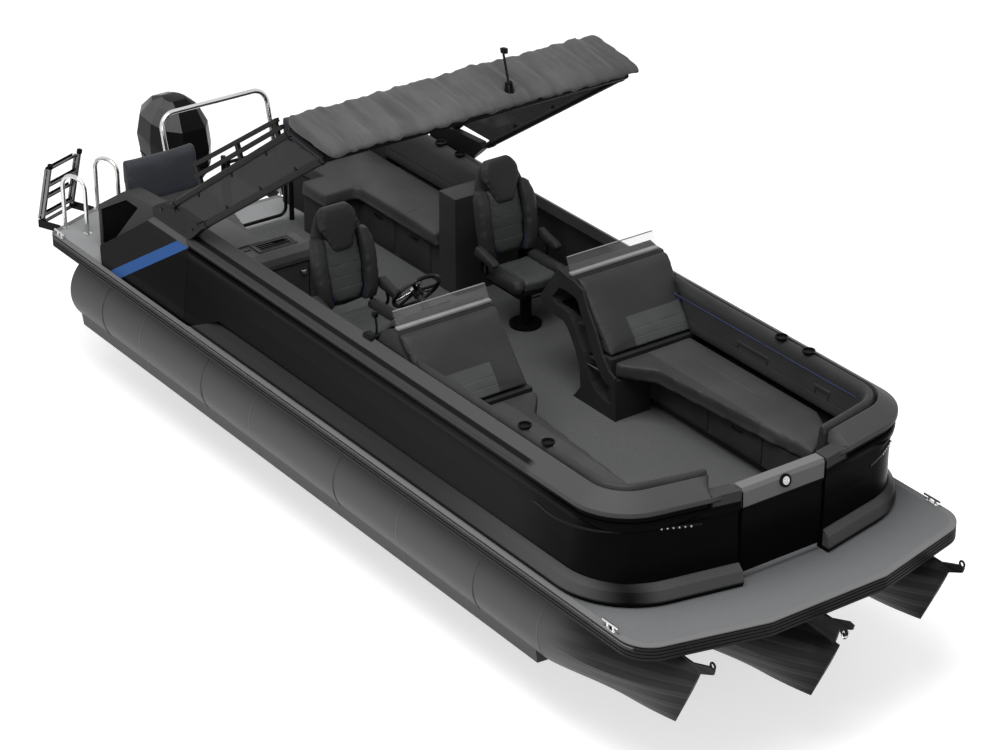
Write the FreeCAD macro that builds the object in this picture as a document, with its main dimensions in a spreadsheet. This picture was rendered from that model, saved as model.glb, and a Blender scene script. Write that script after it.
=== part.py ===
import FreeCAD, Part, Sketcher
import math
import os
from FreeCAD import Vector

# Pontoon boat with three tubes, a fenced deck, upholstered lounges, a fixed arch and an outboard engine.
# Millimetres. +X points to the bow, +Y to port, +Z up. The origin is amidships on the waterline.
# A station is a distance aft of the deck's front edge, and a height is measured above the deck.

SIZES = {
    # Deck
    "bow_x": 3650,
    "deck_top": 540,
    "half_beam": 1295,
    "deck_thickness": 25,
    "trim_height": 100,
    "trim_width": 45,
    "rib_depth": 6,
    "rib_gap": 9,
    "bow_flat": 450,
    "bow_shoulder": 205,
    "bow_corner_radius": 220,
    "stern_corner_station": 7290,
    "stern_corner_radius": 60,
    "stern_station": 7540,
    "stern_wing": 690,
    "well_station": 6880,
    "well_half_width": 470,
    # Tubes
    "tube_radius": 292,
    "tube_spread": 979,
    "tube_height": 125,
    "centre_drop": 139,
    "tube_aft_station": 7080,
    "nose_station": 1220,
    "nose_tip_station": 40,
    "nose_lead": 100,
    "strake_out": 234,
    "riser_width": 110,
    "horn_thickness": 14,
    "eye_station": -137,
    "eye_height": -165,
    "eye_radius": 30,
    "eye_bore": 14,
    # Cross beams
    "beam_spacing": 410,
    "beam_first_station": 520,
    "beam_width": 40,
    "beam_wall": 6,
    # Fence
    "fence_half": 1200,
    "fence_wall": 45,
    "fence_height": 636,
    "fence_aft_station": 5400,
    "fence_end_half": 335,
    "fence_front_station": 464,
    "fence_sweep": 172,
    "crease_height": 500,
    "skirt_foot": 598,
    "corner_radius_low": 500,
    "corner_radius_high": 380,
    "band_height": 140,
    "band_bulge": 66,
    "band_aft_station": 5350,
    "flare_sweep": 1020,
    "flare_height": 490,
    "cap_height": 82,
    "cap_width": 120,
    "cap_end_half": 502,
    "cap_end_slant": 36,
    "end_block_depth": 102,
    # Quarter panels
    "quarter_foot_station": 6575,
    "quarter_corner_station": 6600,
    "quarter_slant_station": 5736,
    "quarter_low": 143,
    "quarter_thickness": 60,
    "panel_seam": 3,
    # Bow gate
    "gate_half": 318,
    "gate_foot": 55,
    "gate_depth": 86,
    "gate_thickness": 46,
    "hinge_radius": 11,
    "hinge_knuckle": 60,
    "hinge_low": 150,
    "hinge_high": 450,
    "seat_gap": 0.3,
    # Lounges
    "seat_base_height": 300,
    "seat_height": 420,
    "seat_inner": 530,
    "base_inner": 600,
    "toe_inner": 665,
    "toe_height": 90,
    "back_clearance": 122,
    "back_depth": 93,
    "back_height": 750,
    "back_end_half": 440,
    "recliner_foot_station": 2570,
    "recliner_top_station": 2925,
    "recliner_height": 860,
    "recliner_inner": 320,
    "recliner_thickness": 120,
    "console_station": 3300,
    "glass_thickness": 8,
    "glass_height": 115,
    # Chairs and helm
    "chair_station": 4000,
    "chair_side": 670,
    "chair_seat_height": 440,
    "chair_height": 1150,
    "chair_half": 256,
    "chair_slide": 70,
    "pedestal_radius": 115,
    "pedestal_post": 42,
    "wheel_radius": 180,
    "wheel_rim": 14,
    "wheel_station": 3370,
    "wheel_height": 890,
    "wheel_tilt": 35,
    # Aft furniture
    "aft_lounge_station": 4850,
    "aft_lounge_end": 6210,
    "end_cabinet_depth": 200,
    "end_cabinet_height": 750,
    "aft_leg_inner": 210,
    "aft_leg_depth": 330,
    "cabinet_station": 4836,
    "cabinet_end": 5100,
    "cabinet_height": 620,
    "cabinet_inner": 530,
    "coaming_height": 634,
    "coaming_inner": 800,
    "coaming_end": 5560,
    "stern_box_end": 6750,
    "stern_box_inner": 400,
    "stern_back_station": 6591,
    "stern_back_height": 710,
    "stern_arm_station": 5950,
    "stern_arm_end": 6830,
    "stern_arm_width": 135,
    # Aft gate
    "aft_gate_station": 6440,
    "aft_gate_half": 285,
    "aft_gate_height": 600,
    "post_radius": 19,
    # Ladder and rails
    "ladder_side": 1005,
    "ladder_width": 345,
    "ladder_length": 484,
    "ladder_reach": 190,
    "ladder_lean": 112,
    "ladder_rungs": 4,
    "ladder_pin": 20,
    "rail_radius": 16,
    "hoop_height": 440,
    "hoop_depth": 210,
    "tow_half": 455,
    "tow_height": 815,
    "tow_station": 6840,
    "tow_lean": 205,
    "tow_bend": 110,
    "tow_radius": 19,
    # Engine
    "transom_station": 7200,
    "pod_half": 210,
    "tilt_station": 7330,
    "tilt_height": -110,
    "steer_station": 7400,
    "cowl_top": 655,
    "cowl_bottom": 20,
    "cowl_front_station": 7320,
    "cowl_aft_station": 8080,
    "cowl_half": 215,
    "plate_height": -820,
    "skeg_height": -1130,
    "gearcase_radius": 55,
    "propeller_radius": 172,
    # Arch and canopy
    "arch_inset": 5,
    "arch_tube": 25,
    "arch_foot_station": 5600,
    "arch_front_foot_station": 5180,
    "arch_top_station": 3985,
    "arch_front_top_station": 3595,
    "arch_height": 1930,
    "arch_front_drop": 50,
    "arch_foot_height": 815,
    "boot_overhang": 50,
    "boot_thickness": 120,
    "boot_front_station": 3460,
    "boot_aft_station": 4010,
    "mast_station": 3626,
    "mast_height": 2035,
    "mast_length": 205,
    "mast_lean": 65,
    "mast_radius": 8,
    "mast_side": 252,
    "mast_hub": 14,
    "mast_ear": 8,
    # Cleats
    "cleat_bow_station": 490,
    "cleat_stern_station": 7180,
    "cleat_length": 150,
    "cleat_radius": 8,
    "cleat_height": 34,
}

doc = FreeCAD.newDocument("pontoon_boat")
sheet = doc.addObject("Spreadsheet::Sheet", "sizes")
for row, (alias, amount) in enumerate(SIZES.items(), start=1):
    sheet.set("A%d" % row, alias)
    sheet.set("B%d" % row, str(amount))
    sheet.setAlias("B%d" % row, alias)
doc.recompute()


class Size:
    """A length that keeps its number and its formula in the sheet together."""

    def __init__(self, number, formula):
        self.number = float(number)
        self.formula = formula

    def join(self, sign, other, number):
        return Size(number, "(%s%s%s)" % (self.formula, sign, other.formula))

    def __add__(self, other):
        other = sized(other)
        return self.join("+", other, self.number + other.number)

    def __radd__(self, other):
        return sized(other) + self

    def __sub__(self, other):
        other = sized(other)
        return self.join("-", other, self.number - other.number)

    def __rsub__(self, other):
        return sized(other) - self

    def __mul__(self, other):
        other = sized(other)
        return self.join("*", other, self.number * other.number)

    def __rmul__(self, other):
        return sized(other) * self

    def __truediv__(self, other):
        other = sized(other)
        return self.join("/", other, self.number / other.number)

    def __neg__(self):
        return Size(-self.number, "(-1*%s)" % self.formula)


def sized(amount):
    if isinstance(amount, Size):
        return amount
    return Size(amount, "(%.6f)" % amount)


def size(alias):
    return Size(sheet.get(alias), "sizes." + alias)


def at(station):
    return size("bow_x") - station


def up(height):
    return size("deck_top") + height


# Helpers that make parametric solids

def plane_of(body, role):
    return [plane for plane in body.Origin.OriginFeatures if plane.Role == role][0]


def outline_sketch(body, role, points):
    sketch = body.newObject("Sketcher::SketchObject", body.Name + "_outline")
    sketch.AttachmentSupport = (plane_of(body, role), [""])
    sketch.MapMode = "FlatFace"
    corners = [(sized(across), sized(along)) for across, along in points]
    count = len(corners)
    for index in range(count):
        start = corners[index]
        end = corners[(index + 1) % count]
        sketch.addGeometry(Part.LineSegment(Vector(start[0].number, start[1].number, 0),
                                            Vector(end[0].number, end[1].number, 0)), False)
    for index in range(count):
        sketch.addConstraint(Sketcher.Constraint("Coincident", index, 2, (index + 1) % count, 1))
    for index, (across, along) in enumerate(corners):
        for kind, amount in (("DistanceX", across), ("DistanceY", along)):
            place = sketch.addConstraint(Sketcher.Constraint(kind, -1, 1, index, 1, amount.number))
            sketch.setExpression("Constraints[%d]" % place, amount.formula)
    return sketch


def prism(name, role, points, low, high):
    """Pads an outline on an origin plane from one distance to another along the plane's row axis."""
    low = sized(low)
    high = sized(high)
    body = doc.addObject("PartDesign::Body", name)
    sketch = outline_sketch(body, role, points)
    pad = body.newObject("PartDesign::Pad", name + "_pad")
    pad.Profile = sketch
    pad.setExpression("Length", (high - low).formula)
    pad.Reversed = role == "XZ_Plane"
    along = {"XY_Plane": "z", "XZ_Plane": "y", "YZ_Plane": "x"}[role]
    body.setExpression("Placement.Base." + along, low.formula)
    sketch.Visibility = False
    return body


def side_prism(name, points, low, high):
    """Outline of stations and heights, padded across the boat."""
    return prism(name, "XZ_Plane", [(at(station), up(height)) for station, height in points], low, high)


def plan_prism(name, points, low, high):
    """Outline of stations and distances to port, padded upwards."""
    return prism(name, "XY_Plane", [(at(station), side) for station, side in points], up(low), up(high))


def box(name, aft, front, low_side, high_side, low, high):
    block = doc.addObject("Part::Box", name)
    block.setExpression("Length", (sized(aft) - front).formula)
    block.setExpression("Width", (sized(high_side) - low_side).formula)
    block.setExpression("Height", (sized(high) - low).formula)
    block.setExpression("Placement.Base.x", at(aft).formula)
    block.setExpression("Placement.Base.y", sized(low_side).formula)
    block.setExpression("Placement.Base.z", up(low).formula)
    return block


def rod(name, radius, length, x, y, z, axis=Vector(0, 0, 1), angle=0.0):
    """Cylinder from a point along +Z, turned by an angle about an axis."""
    cylinder = doc.addObject("Part::Cylinder", name)
    cylinder.setExpression("Radius", sized(radius).formula)
    cylinder.setExpression("Height", sized(length).formula)
    cylinder.Placement = FreeCAD.Placement(Vector(0, 0, 0), FreeCAD.Rotation(axis, float(angle)))
    for letter, amount in zip("xyz", (x, y, z)):
        cylinder.setExpression("Placement.Base." + letter, sized(amount).formula)
    return cylinder


def pivot_pin(name, radius, half, station, level):
    """Cylinder across the boat, centred on its middle plane."""
    return rod(name, radius, sized(half) * 2, at(station), half, up(level), Vector(1, 0, 0), 90)


def fuse(name, pieces):
    whole = doc.addObject("Part::MultiFuse", name)
    whole.Shapes = pieces
    whole.Refine = True
    return whole


def cut(name, base, tool):
    rest = doc.addObject("Part::Cut", name)
    rest.Base = base
    rest.Tool = tool
    rest.Refine = True
    return rest


def common(name, pieces):
    shared = doc.addObject("Part::MultiCommon", name)
    shared.Shapes = pieces
    shared.Refine = True
    return shared


def group(name, pieces):
    together = doc.addObject("Part::Compound", name)
    together.Links = pieces
    return together


def mirrored(name, source):
    twin = doc.addObject("Part::Mirroring", name)
    twin.Source = source
    twin.Normal = Vector(0, 1, 0)
    return twin


def both_sides(name, source):
    return group(name, [source, mirrored(name + "_mirror", source)])


def feature(name, shape):
    solid = doc.addObject("Part::Feature", name)
    solid.Shape = shape
    return solid


def bent_rod(radius, points, bend):
    """Round bar along straight runs joined by tangent arcs of one bend radius."""
    edges = []
    start = points[0]
    for index in range(1, len(points) - 1):
        corner = points[index]
        before = (corner - points[index - 1]).normalize()
        after = (points[index + 1] - corner).normalize()
        half_turn = before.getAngle(after) / 2
        reach = bend * math.tan(half_turn)
        first = corner - before * reach
        last = corner + after * reach
        inward = (after - before).normalize()
        middle = corner + inward * (bend / math.cos(half_turn) - bend)
        edges.append(Part.LineSegment(start, first).toShape())
        edges.append(Part.Arc(first, middle, last).toShape())
        start = last
    edges.append(Part.LineSegment(start, points[-1]).toShape())
    path = Part.Wire(edges)
    ring = Part.Wire([Part.makeCircle(radius, points[0], points[1] - points[0])])
    return path.makePipeShell([ring], True, False, 2)


def back_outer():
    return size("fence_half") - size("back_clearance")


def back_inner():
    return back_outer() - size("back_depth")


def arch_side():
    return (size("fence_half") - size("arch_inset")).number


def arch_front_height():
    return size("arch_height") - size("arch_front_drop")


NODES = {}


# Tubes with welded risers, lifting strakes and raked nose cones

def nose_section(side, floor, roof, half, fullness, station, lean):
    """Closed section of four arcs on a plane that leans forward with height."""
    middle = (floor + roof) / 2
    diagonal = math.sqrt(0.5)

    def place(across, height):
        return Vector(size("bow_x").number - station + lean * (height - floor), side + across, height)

    keel, shoulder, top, far = place(0, floor), place(half, middle), place(0, roof), place(-half, middle)
    low = fullness * (middle - floor)
    edges = [
        Part.Arc(keel, place(half * fullness, middle - low), shoulder),
        Part.Arc(shoulder, place(half * diagonal, middle + diagonal * (roof - middle)), top),
        Part.Arc(top, place(-half * diagonal, middle + diagonal * (roof - middle)), far),
        Part.Arc(far, place(-half * fullness, middle - low), keel),
    ]
    return Part.Wire([edge.toShape() for edge in edges])


def tube(name, side, drop, lead):
    radius = size("tube_radius")
    height = size("tube_height") - drop
    aft = size("tube_aft_station")
    seam = size("nose_station") - lead
    barrel = rod(name + "_barrel", radius, aft - seam, at(aft), side, height, Vector(0, 1, 0), 90)
    riser = box(name + "_riser", aft, seam + 60, side - size("riser_width") / 2,
                side + size("riser_width") / 2,
                height + radius * 0.9 - size("deck_top"), -1 * size("trim_height"))
    strakes = []
    for label, way in (("outer", 1), ("inner", -1)):
        out = size("strake_out") * way
        points = [
            (side + out, height - radius * 0.575),
            (side + out * 0.935, height - radius * 0.949),
            (side + out * 0.2, height - radius * 0.99),
            (side + out * 0.2, height - radius * 0.6),
        ]
        strakes.append(prism(name + "_strake_" + label, "YZ_Plane", points, at(aft - 40), at(seam + 90)))
    floor = (height - radius).number
    roof = (height + radius).number
    wide = radius.number
    start = seam.number
    reach = start - size("nose_tip_station").number + lead.number
    sections = [
        nose_section(side.number, floor, roof, wide, math.sqrt(0.5), start, 0.0),
        nose_section(side.number, floor, roof, wide * 0.93, 0.62, start - reach * 0.22, 0.06),
        nose_section(side.number, floor + 24, roof, wide * 0.68, 0.54, start - reach * 0.50, 0.20),
        nose_section(side.number, floor + 62, roof - 4, wide * 0.32, 0.54, start - reach * 0.72, 0.36),
        nose_section(side.number, floor + 90, roof - 10, wide * 0.03, 0.53, start - reach * 0.845, 0.48),
    ]
    nose = feature(name + "_nose", Part.makeLoft(sections, True, False))
    tip = size("nose_tip_station") - lead
    horn_top = size("trim_height") * -1 - 24
    horn = side_prism(name + "_horn", [
        (tip + 330, horn_top), (tip + 40, horn_top - 4), (tip - 120, horn_top + 52),
        (tip - 160, horn_top + 44),
        (tip - 150, horn_top + 10), (tip - 40, horn_top - 40), (tip + 20, horn_top - 90 - drop),
        (tip + 300, horn_top - 90 - drop),
    ], side - size("horn_thickness") / 2, side + size("horn_thickness") / 2)
    NODES[name] = fuse(name, [barrel, riser, nose, horn] + strakes)


def add_tow_eye(name):
    """Bored eye on the horn plate of a tube."""
    half = size("horn_thickness") / 2
    level = size("eye_height")
    boss = pivot_pin("tow_eye_boss", size("eye_radius"), half, size("eye_station"), level)
    bore = pivot_pin("tow_eye_bore", size("eye_bore"), half + 10, size("eye_station"), level)
    whole = fuse(name + "_with_eye", [NODES[name], boss])
    NODES[name] = cut(name + "_bored", whole, bore)


tube("tube_starboard", -size("tube_spread"), sized(0), sized(0))
tube("tube_centre", sized(0), size("centre_drop"), size("nose_lead"))
tube("tube_port", size("tube_spread"), sized(0), sized(0))
add_tow_eye("tube_centre")


# Channel beams across the boat

def cross_beams():
    wall = size("beam_wall")
    wide = size("beam_width")
    top = -size("deck_thickness")
    foot = -size("trim_height")
    reach = size("half_beam") - size("trim_width") - 8
    last = size("well_station").number - size("beam_width").number
    count = int((last - size("beam_first_station").number) // size("beam_spacing").number) + 1
    beams = []
    for index in range(count):
        fore = size("beam_first_station") + size("beam_spacing") * index
        beams.append(side_prism("cross_beam_%d" % (index + 1), [
            (fore, foot), (fore, top), (fore + wide, top), (fore + wide, top - wall),
            (fore + wall, top - wall), (fore + wall, foot + wall), (fore + wide, foot + wall),
            (fore + wide, foot),
        ], -reach, reach))
    return group("cross_beams", beams)


NODES["cross_beams"] = cross_beams()


# Deck panel and its ribbed edge

def rounded_outline(corners, height):
    """Closed wire through corners given as (x, y, fillet radius)."""
    edges = []
    count = len(corners)
    stops = []
    for index in range(count):
        here = Vector(corners[index][0], corners[index][1], height)
        before = Vector(corners[index - 1][0], corners[index - 1][1], height)
        after = Vector(corners[(index + 1) % count][0], corners[(index + 1) % count][1], height)
        incoming = (here - before).normalize()
        outgoing = (after - here).normalize()
        radius = corners[index][2]
        if radius <= 0:
            stops.append((here, None, here))
            continue
        half_turn = incoming.getAngle(outgoing) / 2
        reach = radius * math.tan(half_turn)
        inward = (outgoing - incoming).normalize()
        middle = here + inward * (radius / math.cos(half_turn) - radius)
        stops.append((here - incoming * reach, middle, here + outgoing * reach))
    for index in range(count):
        start, middle, end = stops[index]
        if middle is not None:
            edges.append(Part.Arc(start, middle, end).toShape())
        edges.append(Part.LineSegment(end, stops[(index + 1) % count][0]).toShape())
    return Part.Wire(edges)


def deck_outline(inset, height):
    bow = size("bow_x").number
    half = size("half_beam").number
    corners = [
        (bow, size("bow_flat").number, 0),
        (bow - size("bow_shoulder").number, half, size("bow_corner_radius").number),
        (bow - size("stern_corner_station").number, half, size("stern_corner_radius").number),
        (bow - size("stern_station").number, size("stern_wing").number, 0),
        (bow - size("stern_station").number, size("well_half_width").number, 0),
        (bow - size("well_station").number, size("well_half_width").number, 0),
    ]
    corners = corners + [(x, -y, radius) for x, y, radius in reversed(corners)]
    wire = rounded_outline(corners, height)
    if inset == 0:
        return Part.Face(wire)
    return Part.Face(wire).makeOffset2D(-inset, 0, False, False)


def deck():
    top = size("deck_top").number
    thick = size("deck_thickness").number
    return feature("deck", deck_outline(size("trim_width").number, top - thick).extrude(Vector(0, 0, thick)))


def deck_trim():
    top = size("deck_top").number
    low = top - size("trim_height").number
    tall = size("trim_height").number
    inner = deck_outline(size("trim_width").number, low)
    ring = deck_outline(0, low).extrude(Vector(0, 0, tall)).cut(inner.extrude(Vector(0, 0, tall)))
    ribs = 4
    step = size("trim_height").number / (ribs + 0.4)
    for index in range(ribs):
        level = low + step * (index + 0.7)
        gap = size("rib_gap").number
        core = deck_outline(size("rib_depth").number, level).extrude(Vector(0, 0, gap))
        shell = deck_outline(0, level).extrude(Vector(0, 0, gap)).cut(core)
        ring = ring.cut(shell)
    return feature("deck_trim", ring)


NODES["deck"] = deck()
NODES["deck_trim"] = deck_trim()


# Fence: plan curves at several heights, joined by ruled faces

def fence_level(height, outward, inward, aft, end, side, top_ratio, slant=0.0):
    """Closed plan ring of the fence at a height, from its aft end round the bow corner to the gate."""
    bow = size("bow_x").number
    gate_x = bow - size("fence_front_station").number
    low_radius = size("corner_radius_low").number
    high_radius = size("corner_radius_high").number
    base_radius = low_radius + (high_radius - low_radius) * top_ratio
    half = size("fence_half").number
    gate_end = size("fence_end_half").number
    slope = size("fence_sweep").number / (half - gate_end)
    length = math.hypot(1.0, slope)
    level = size("deck_top").number + height

    def run(offset, stop):
        beam = half + offset
        front = gate_x + offset * length
        radius = base_radius + offset
        corner_x = front - slope * (beam - gate_end)
        turn = math.pi / 2 - math.atan(slope)
        reach = radius * math.tan(turn / 2)
        start = Vector(bow - aft, beam, level)
        first = Vector(corner_x - reach, beam, level)
        heading = Vector(slope, -1, 0).normalize()
        last = Vector(corner_x, beam, level) + heading * reach
        inner = (heading - Vector(1, 0, 0)).normalize()
        middle = Vector(corner_x, beam, level) + inner * (radius / math.cos(turn / 2) - radius)
        finish = Vector(front - slope * (stop - gate_end), stop, level)
        return [start, first, middle, last, finish]

    outer = run(outward, end + slant)
    inner = run(inward, end - slant)
    if side < 0:
        outer = [Vector(p.x, -p.y, p.z) for p in outer]
        inner = [Vector(p.x, -p.y, p.z) for p in inner]
    edges = [
        Part.LineSegment(outer[0], outer[1]).toShape(),
        Part.Arc(outer[1], outer[2], outer[3]).toShape(),
        Part.LineSegment(outer[3], outer[4]).toShape(),
        Part.LineSegment(outer[4], inner[4]).toShape(),
        Part.LineSegment(inner[4], inner[3]).toShape(),
        Part.Arc(inner[3], inner[2], inner[1]).toShape(),
        Part.LineSegment(inner[1], inner[0]).toShape(),
        Part.LineSegment(inner[0], outer[0]).toShape(),
    ]
    return Part.Wire(edges)


def fence_loft(name, side, aft_at, end, levels, lowest_ratio=0.0, slant=0.0):
    """Ruled loft through (height, outward, inward) rings, whose aft end is a station for each height."""
    total = size("fence_height").number
    rings = []
    for height, outward, inward in levels:
        ratio = max(lowest_ratio, min(1.0, height / total))
        rings.append(fence_level(height, outward, inward, aft_at(height), end, side, ratio, slant))
    return feature(name, Part.makeLoft(rings, True, True))


def fence_profile():
    """Outward offset of the fence's skin by height: recessed face, crease, shoulder, groove under the cap."""
    tall = size("fence_height").number
    band = size("band_height").number
    crease = size("crease_height").number
    lip = size("skirt_foot").number
    return [(0, 0), (band, 0), ((band + crease) / 2, -10), (crease - 12, -12), (crease + 6, 5),
            (crease + 40, 8),
            (crease + 58, 2), (crease + 62, -8), (lip, -8), (lip + 4, 4), (tall, 4)]


def gate_axis():
    """Station and side of the gate's hinge."""
    station = size("fence_front_station") + size("end_block_depth") + size("hinge_radius") + 4
    return station, -size("gate_half") - size("hinge_radius") - 2


def gate_hinges():
    """Fence knuckles that the gate's knuckles stand on."""
    station, side = gate_axis()
    pieces = []
    for label, height in (("low", size("hinge_low")), ("high", size("hinge_high"))):
        top = height - size("seat_gap")
        low = top - size("hinge_knuckle") / 2
        pieces.append(rod("fence_knuckle_" + label, size("hinge_radius"), top - low, at(station), side,
                          up(low)))
        pieces.append(box("fence_strap_" + label, station, size("fence_front_station") + 30, side - 26,
                          side - 2,
                          low, top))
    return pieces


def fence_end_block(name, side):
    """Thick end of the fence beside the gate, as far as the rail cap."""
    bow = size("bow_x").number
    near = size("fence_end_half").number
    far = (size("cap_end_half") + size("cap_end_slant")).number
    slope = size("fence_sweep").number / (size("fence_half").number - near)
    front = size("fence_front_station").number
    depth = size("end_block_depth").number
    crease = size("crease_height").number
    tall = size("fence_height").number

    def ring(height, outward):
        corners = [(front - outward, near), (front - outward + slope * (far - near), far),
                   (front + depth + slope * (far - near), far), (front + depth, near)]
        places = [Vector(bow - station, side * y, up(sized(height)).number) for station, y in corners]
        return Part.makePolygon(places + [places[0]])

    rings = [ring(crease, 4), ring(tall - 24, 3), ring(tall, -10)]
    return feature(name, Part.makeLoft(rings, True, True))


def quarter_offsets():
    """Outward offset of the stern quarter's skin by height."""
    tall = size("fence_height").number
    return [(0, 62), (100, 58), (205, 44), (350, 22), (480, 4), (560, -2), (604, 2), (tall, 0),
            (tall + 28, -34),
            (tall + 64, -84), (tall + size("cap_height").number, -108)]


def sweep_station(height, seam):
    """Station of the line that the flare's edge and the lower band's aft end sweep up along."""
    return size("band_aft_station") - size("flare_sweep") * height / size("flare_height") + seam


def fence_flare(name, side):
    """Wedge that carries the fence's foot out to the deck edge behind the lower band."""
    bow = size("bow_x").number
    half = size("fence_half").number
    aft = size("fence_aft_station").number
    foot = size("band_aft_station").number
    fore = foot - size("flare_sweep").number
    top = size("flare_height").number
    crease = size("crease_height").number
    offsets = [pair for pair in quarter_offsets() if pair[0] < crease] + [(crease + 4, 3)]

    def section(station, share):
        skin = [(height, offset * share) for height, offset in offsets]
        places = [Vector(bow - station, side * (half + offset), up(sized(height)).number)
                  for height, offset in [(0, -20)] + skin + [(offsets[-1][0], -20)]]
        return Part.makePolygon(places + [places[0]])

    wedge = Part.makeLoft([section(aft, 1.0), section(fore, 0.02)], True, True)
    seam = size("panel_seam")
    below = [(sweep_station(-10, seam).number, -10), (sweep_station(top, seam).number, top),
             (fore - 200, top),
             (fore - 200, -10)]
    corners = [Vector(bow - station, -half * 2, up(sized(height)).number) for station, height in below]
    tool = Part.Face(Part.makePolygon(corners + [corners[0]])).extrude(Vector(0, half * 4, 0))
    return feature(name, wedge.cut(tool))


def fence_and_skins():
    wall = size("fence_wall").number
    tall = size("fence_height").number
    band = size("band_height").number
    bulge = size("band_bulge").number
    aft = size("fence_aft_station").number
    end_half = size("fence_end_half").number
    cap = size("cap_height").number
    cap_wide = size("cap_width").number
    cap_end = size("cap_end_half").number
    slant = size("cap_end_slant").number
    lip = size("skirt_foot").number
    skin = 4 + size("seat_gap").number
    foot = size("band_aft_station")
    bands = []
    caps = []
    for word, side in (("starboard", -1), ("port", 1)):
        walls = [(height, outward, -wall) for height, outward in fence_profile()]
        wall_loft = fence_loft("fence_wall_" + word, side, lambda height: aft, end_half, walls)
        pieces = [wall_loft, fence_end_block("fence_end_" + word, side),
                  fence_flare("fence_flare_" + word, side)]
        if side < 0:
            pieces = pieces + gate_hinges()
        NODES["fence_" + word] = fuse("fence_" + word, pieces)
        whole_band = fence_loft("band_loft_" + word, side, lambda height: foot.number, end_half, [
            (0, bulge * 0.8, 0), (band * 0.3, bulge, 0), (band * 0.75, bulge * 0.72, 0),
            (band, bulge * 0.15, 0),
        ])
        sweep = side_prism("band_sweep_" + word, [
            (sweep_station(sized(-5), 0), -5), (foot + 200, -5), (foot + 200, size("band_height") + 5),
            (sweep_station(size("band_height") + 5, 0), size("band_height") + 5),
        ], -size("half_beam"), size("half_beam"))
        bands.append(cut("lower_band_" + word, whole_band, sweep))
        skirt = fence_loft("cap_skirt_" + word, side, lambda height: aft, cap_end, [
            (lip, 10, skin), (lip + 6, 14, skin), (tall - 8, 14, skin), (tall, 12, skin)], 0.0, slant)
        crown = fence_loft("cap_crown_" + word, side, lambda height: aft, cap_end, [
            (tall, 12, 4 - cap_wide), (tall + cap * 0.34, -26, 4 - cap_wide),
            (tall + cap * 0.78, -80, 4 - cap_wide),
            (tall + cap * 0.95, -102, 4 - cap_wide), (tall + cap, -108, 5 - cap_wide)], 0.0, slant)
        caps.append(fuse("rail_cap_" + word, [skirt, crown]))
    NODES["lower_bands"] = group("lower_bands", bands)
    NODES["rail_caps"] = group("rail_caps", caps)


fence_and_skins()


# Quarter panels that slant down to the swim platform

def quarter_panels():
    aft = size("quarter_corner_station")
    fore = size("fence_aft_station") + size("panel_seam")
    half = size("fence_half")
    inner = half - size("quarter_thickness")
    top = size("fence_height") + size("cap_height")
    section = [(half + offset, up(sized(height))) for height, offset in quarter_offsets()]
    lip = half - size("cap_width") + 4
    block = prism("quarter_section", "YZ_Plane", section + [
        (lip, up(top)), (lip, up(top - 50)), (inner, up(top - 66)), (inner, up(sized(0))),
    ], at(aft), at(fore))
    outline = side_prism("quarter_outline", [
        (size("quarter_foot_station"), 0), (aft, size("quarter_low")), (size("quarter_slant_station"), top),
        (fore, top), (fore, 0),
    ], inner - 10, size("half_beam"))
    return both_sides("quarter_panels", common("quarter_panel", [block, outline]))


NODES["quarter_panels"] = quarter_panels()


# Bow gate, hung on the starboard fence end

def bow_gate():
    face = size("fence_front_station") + 6
    proud = face - 8
    back = proud + size("gate_depth")
    thin = face + size("gate_thickness")
    top = size("fence_height") + 4
    crease = size("crease_height")
    half = size("gate_half")
    panel = side_prism("gate_panel", [
        (face, size("gate_foot")), (face, crease - 16), (proud, crease - 8), (proud, top - 26),
        (proud + 13, top),
        (back, top), (back, top - 50), (thin, crease - 20), (thin, size("gate_foot")),
    ], -half, half)
    pieces = [panel]
    station, side = gate_axis()
    tall = size("hinge_knuckle")
    for label, height in (("low", size("hinge_low")), ("high", size("hinge_high"))):
        pieces.append(rod("gate_knuckle_" + label, size("hinge_radius"), tall, at(station), side, up(height)))
        pieces.append(box("gate_strap_" + label, station + size("hinge_radius") - 2, thin - 6, side,
                          -half + 4,
                          height, height + tall))
    return fuse("bow_gate", pieces)


NODES["bow_gate"] = bow_gate()


# Bow lounges on both sides

def bow_lounges():
    foot = size("recliner_foot_station")
    outer = size("fence_half") - size("fence_wall") - 30
    front = size("fence_front_station") + 330
    corner = front + 420

    def outline(inner):
        return [(foot, outer), (corner, outer), (corner - 270, outer - 130), (front, outer - 400),
                (front, inner), (foot, inner)]

    toe = plan_prism("lounge_toe", outline(size("toe_inner")), 0, size("toe_height"))
    base = plan_prism("lounge_box", outline(size("base_inner")), size("toe_height"), size("seat_base_height"))
    bases = both_sides("bow_lounge_bases", fuse("lounge_base", [toe, base]))
    inner = size("seat_inner")
    narrow = size("recliner_inner")
    cushion = plan_prism("lounge_cushion", [
        (foot, back_inner() - 4), (corner + 40, back_inner() - 4), (corner - 200, outer - 260),
        (front + 90, outer - 480), (front + 60, inner + 60), (front + 560, inner + 20),
        (foot - 270, inner - 55),
        (foot - 58, narrow), (foot, narrow),
    ], size("seat_base_height"), size("seat_height"))
    NODES["bow_lounge_bases"] = bases
    NODES["bow_seats"] = both_sides("bow_seats", cushion)


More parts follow.
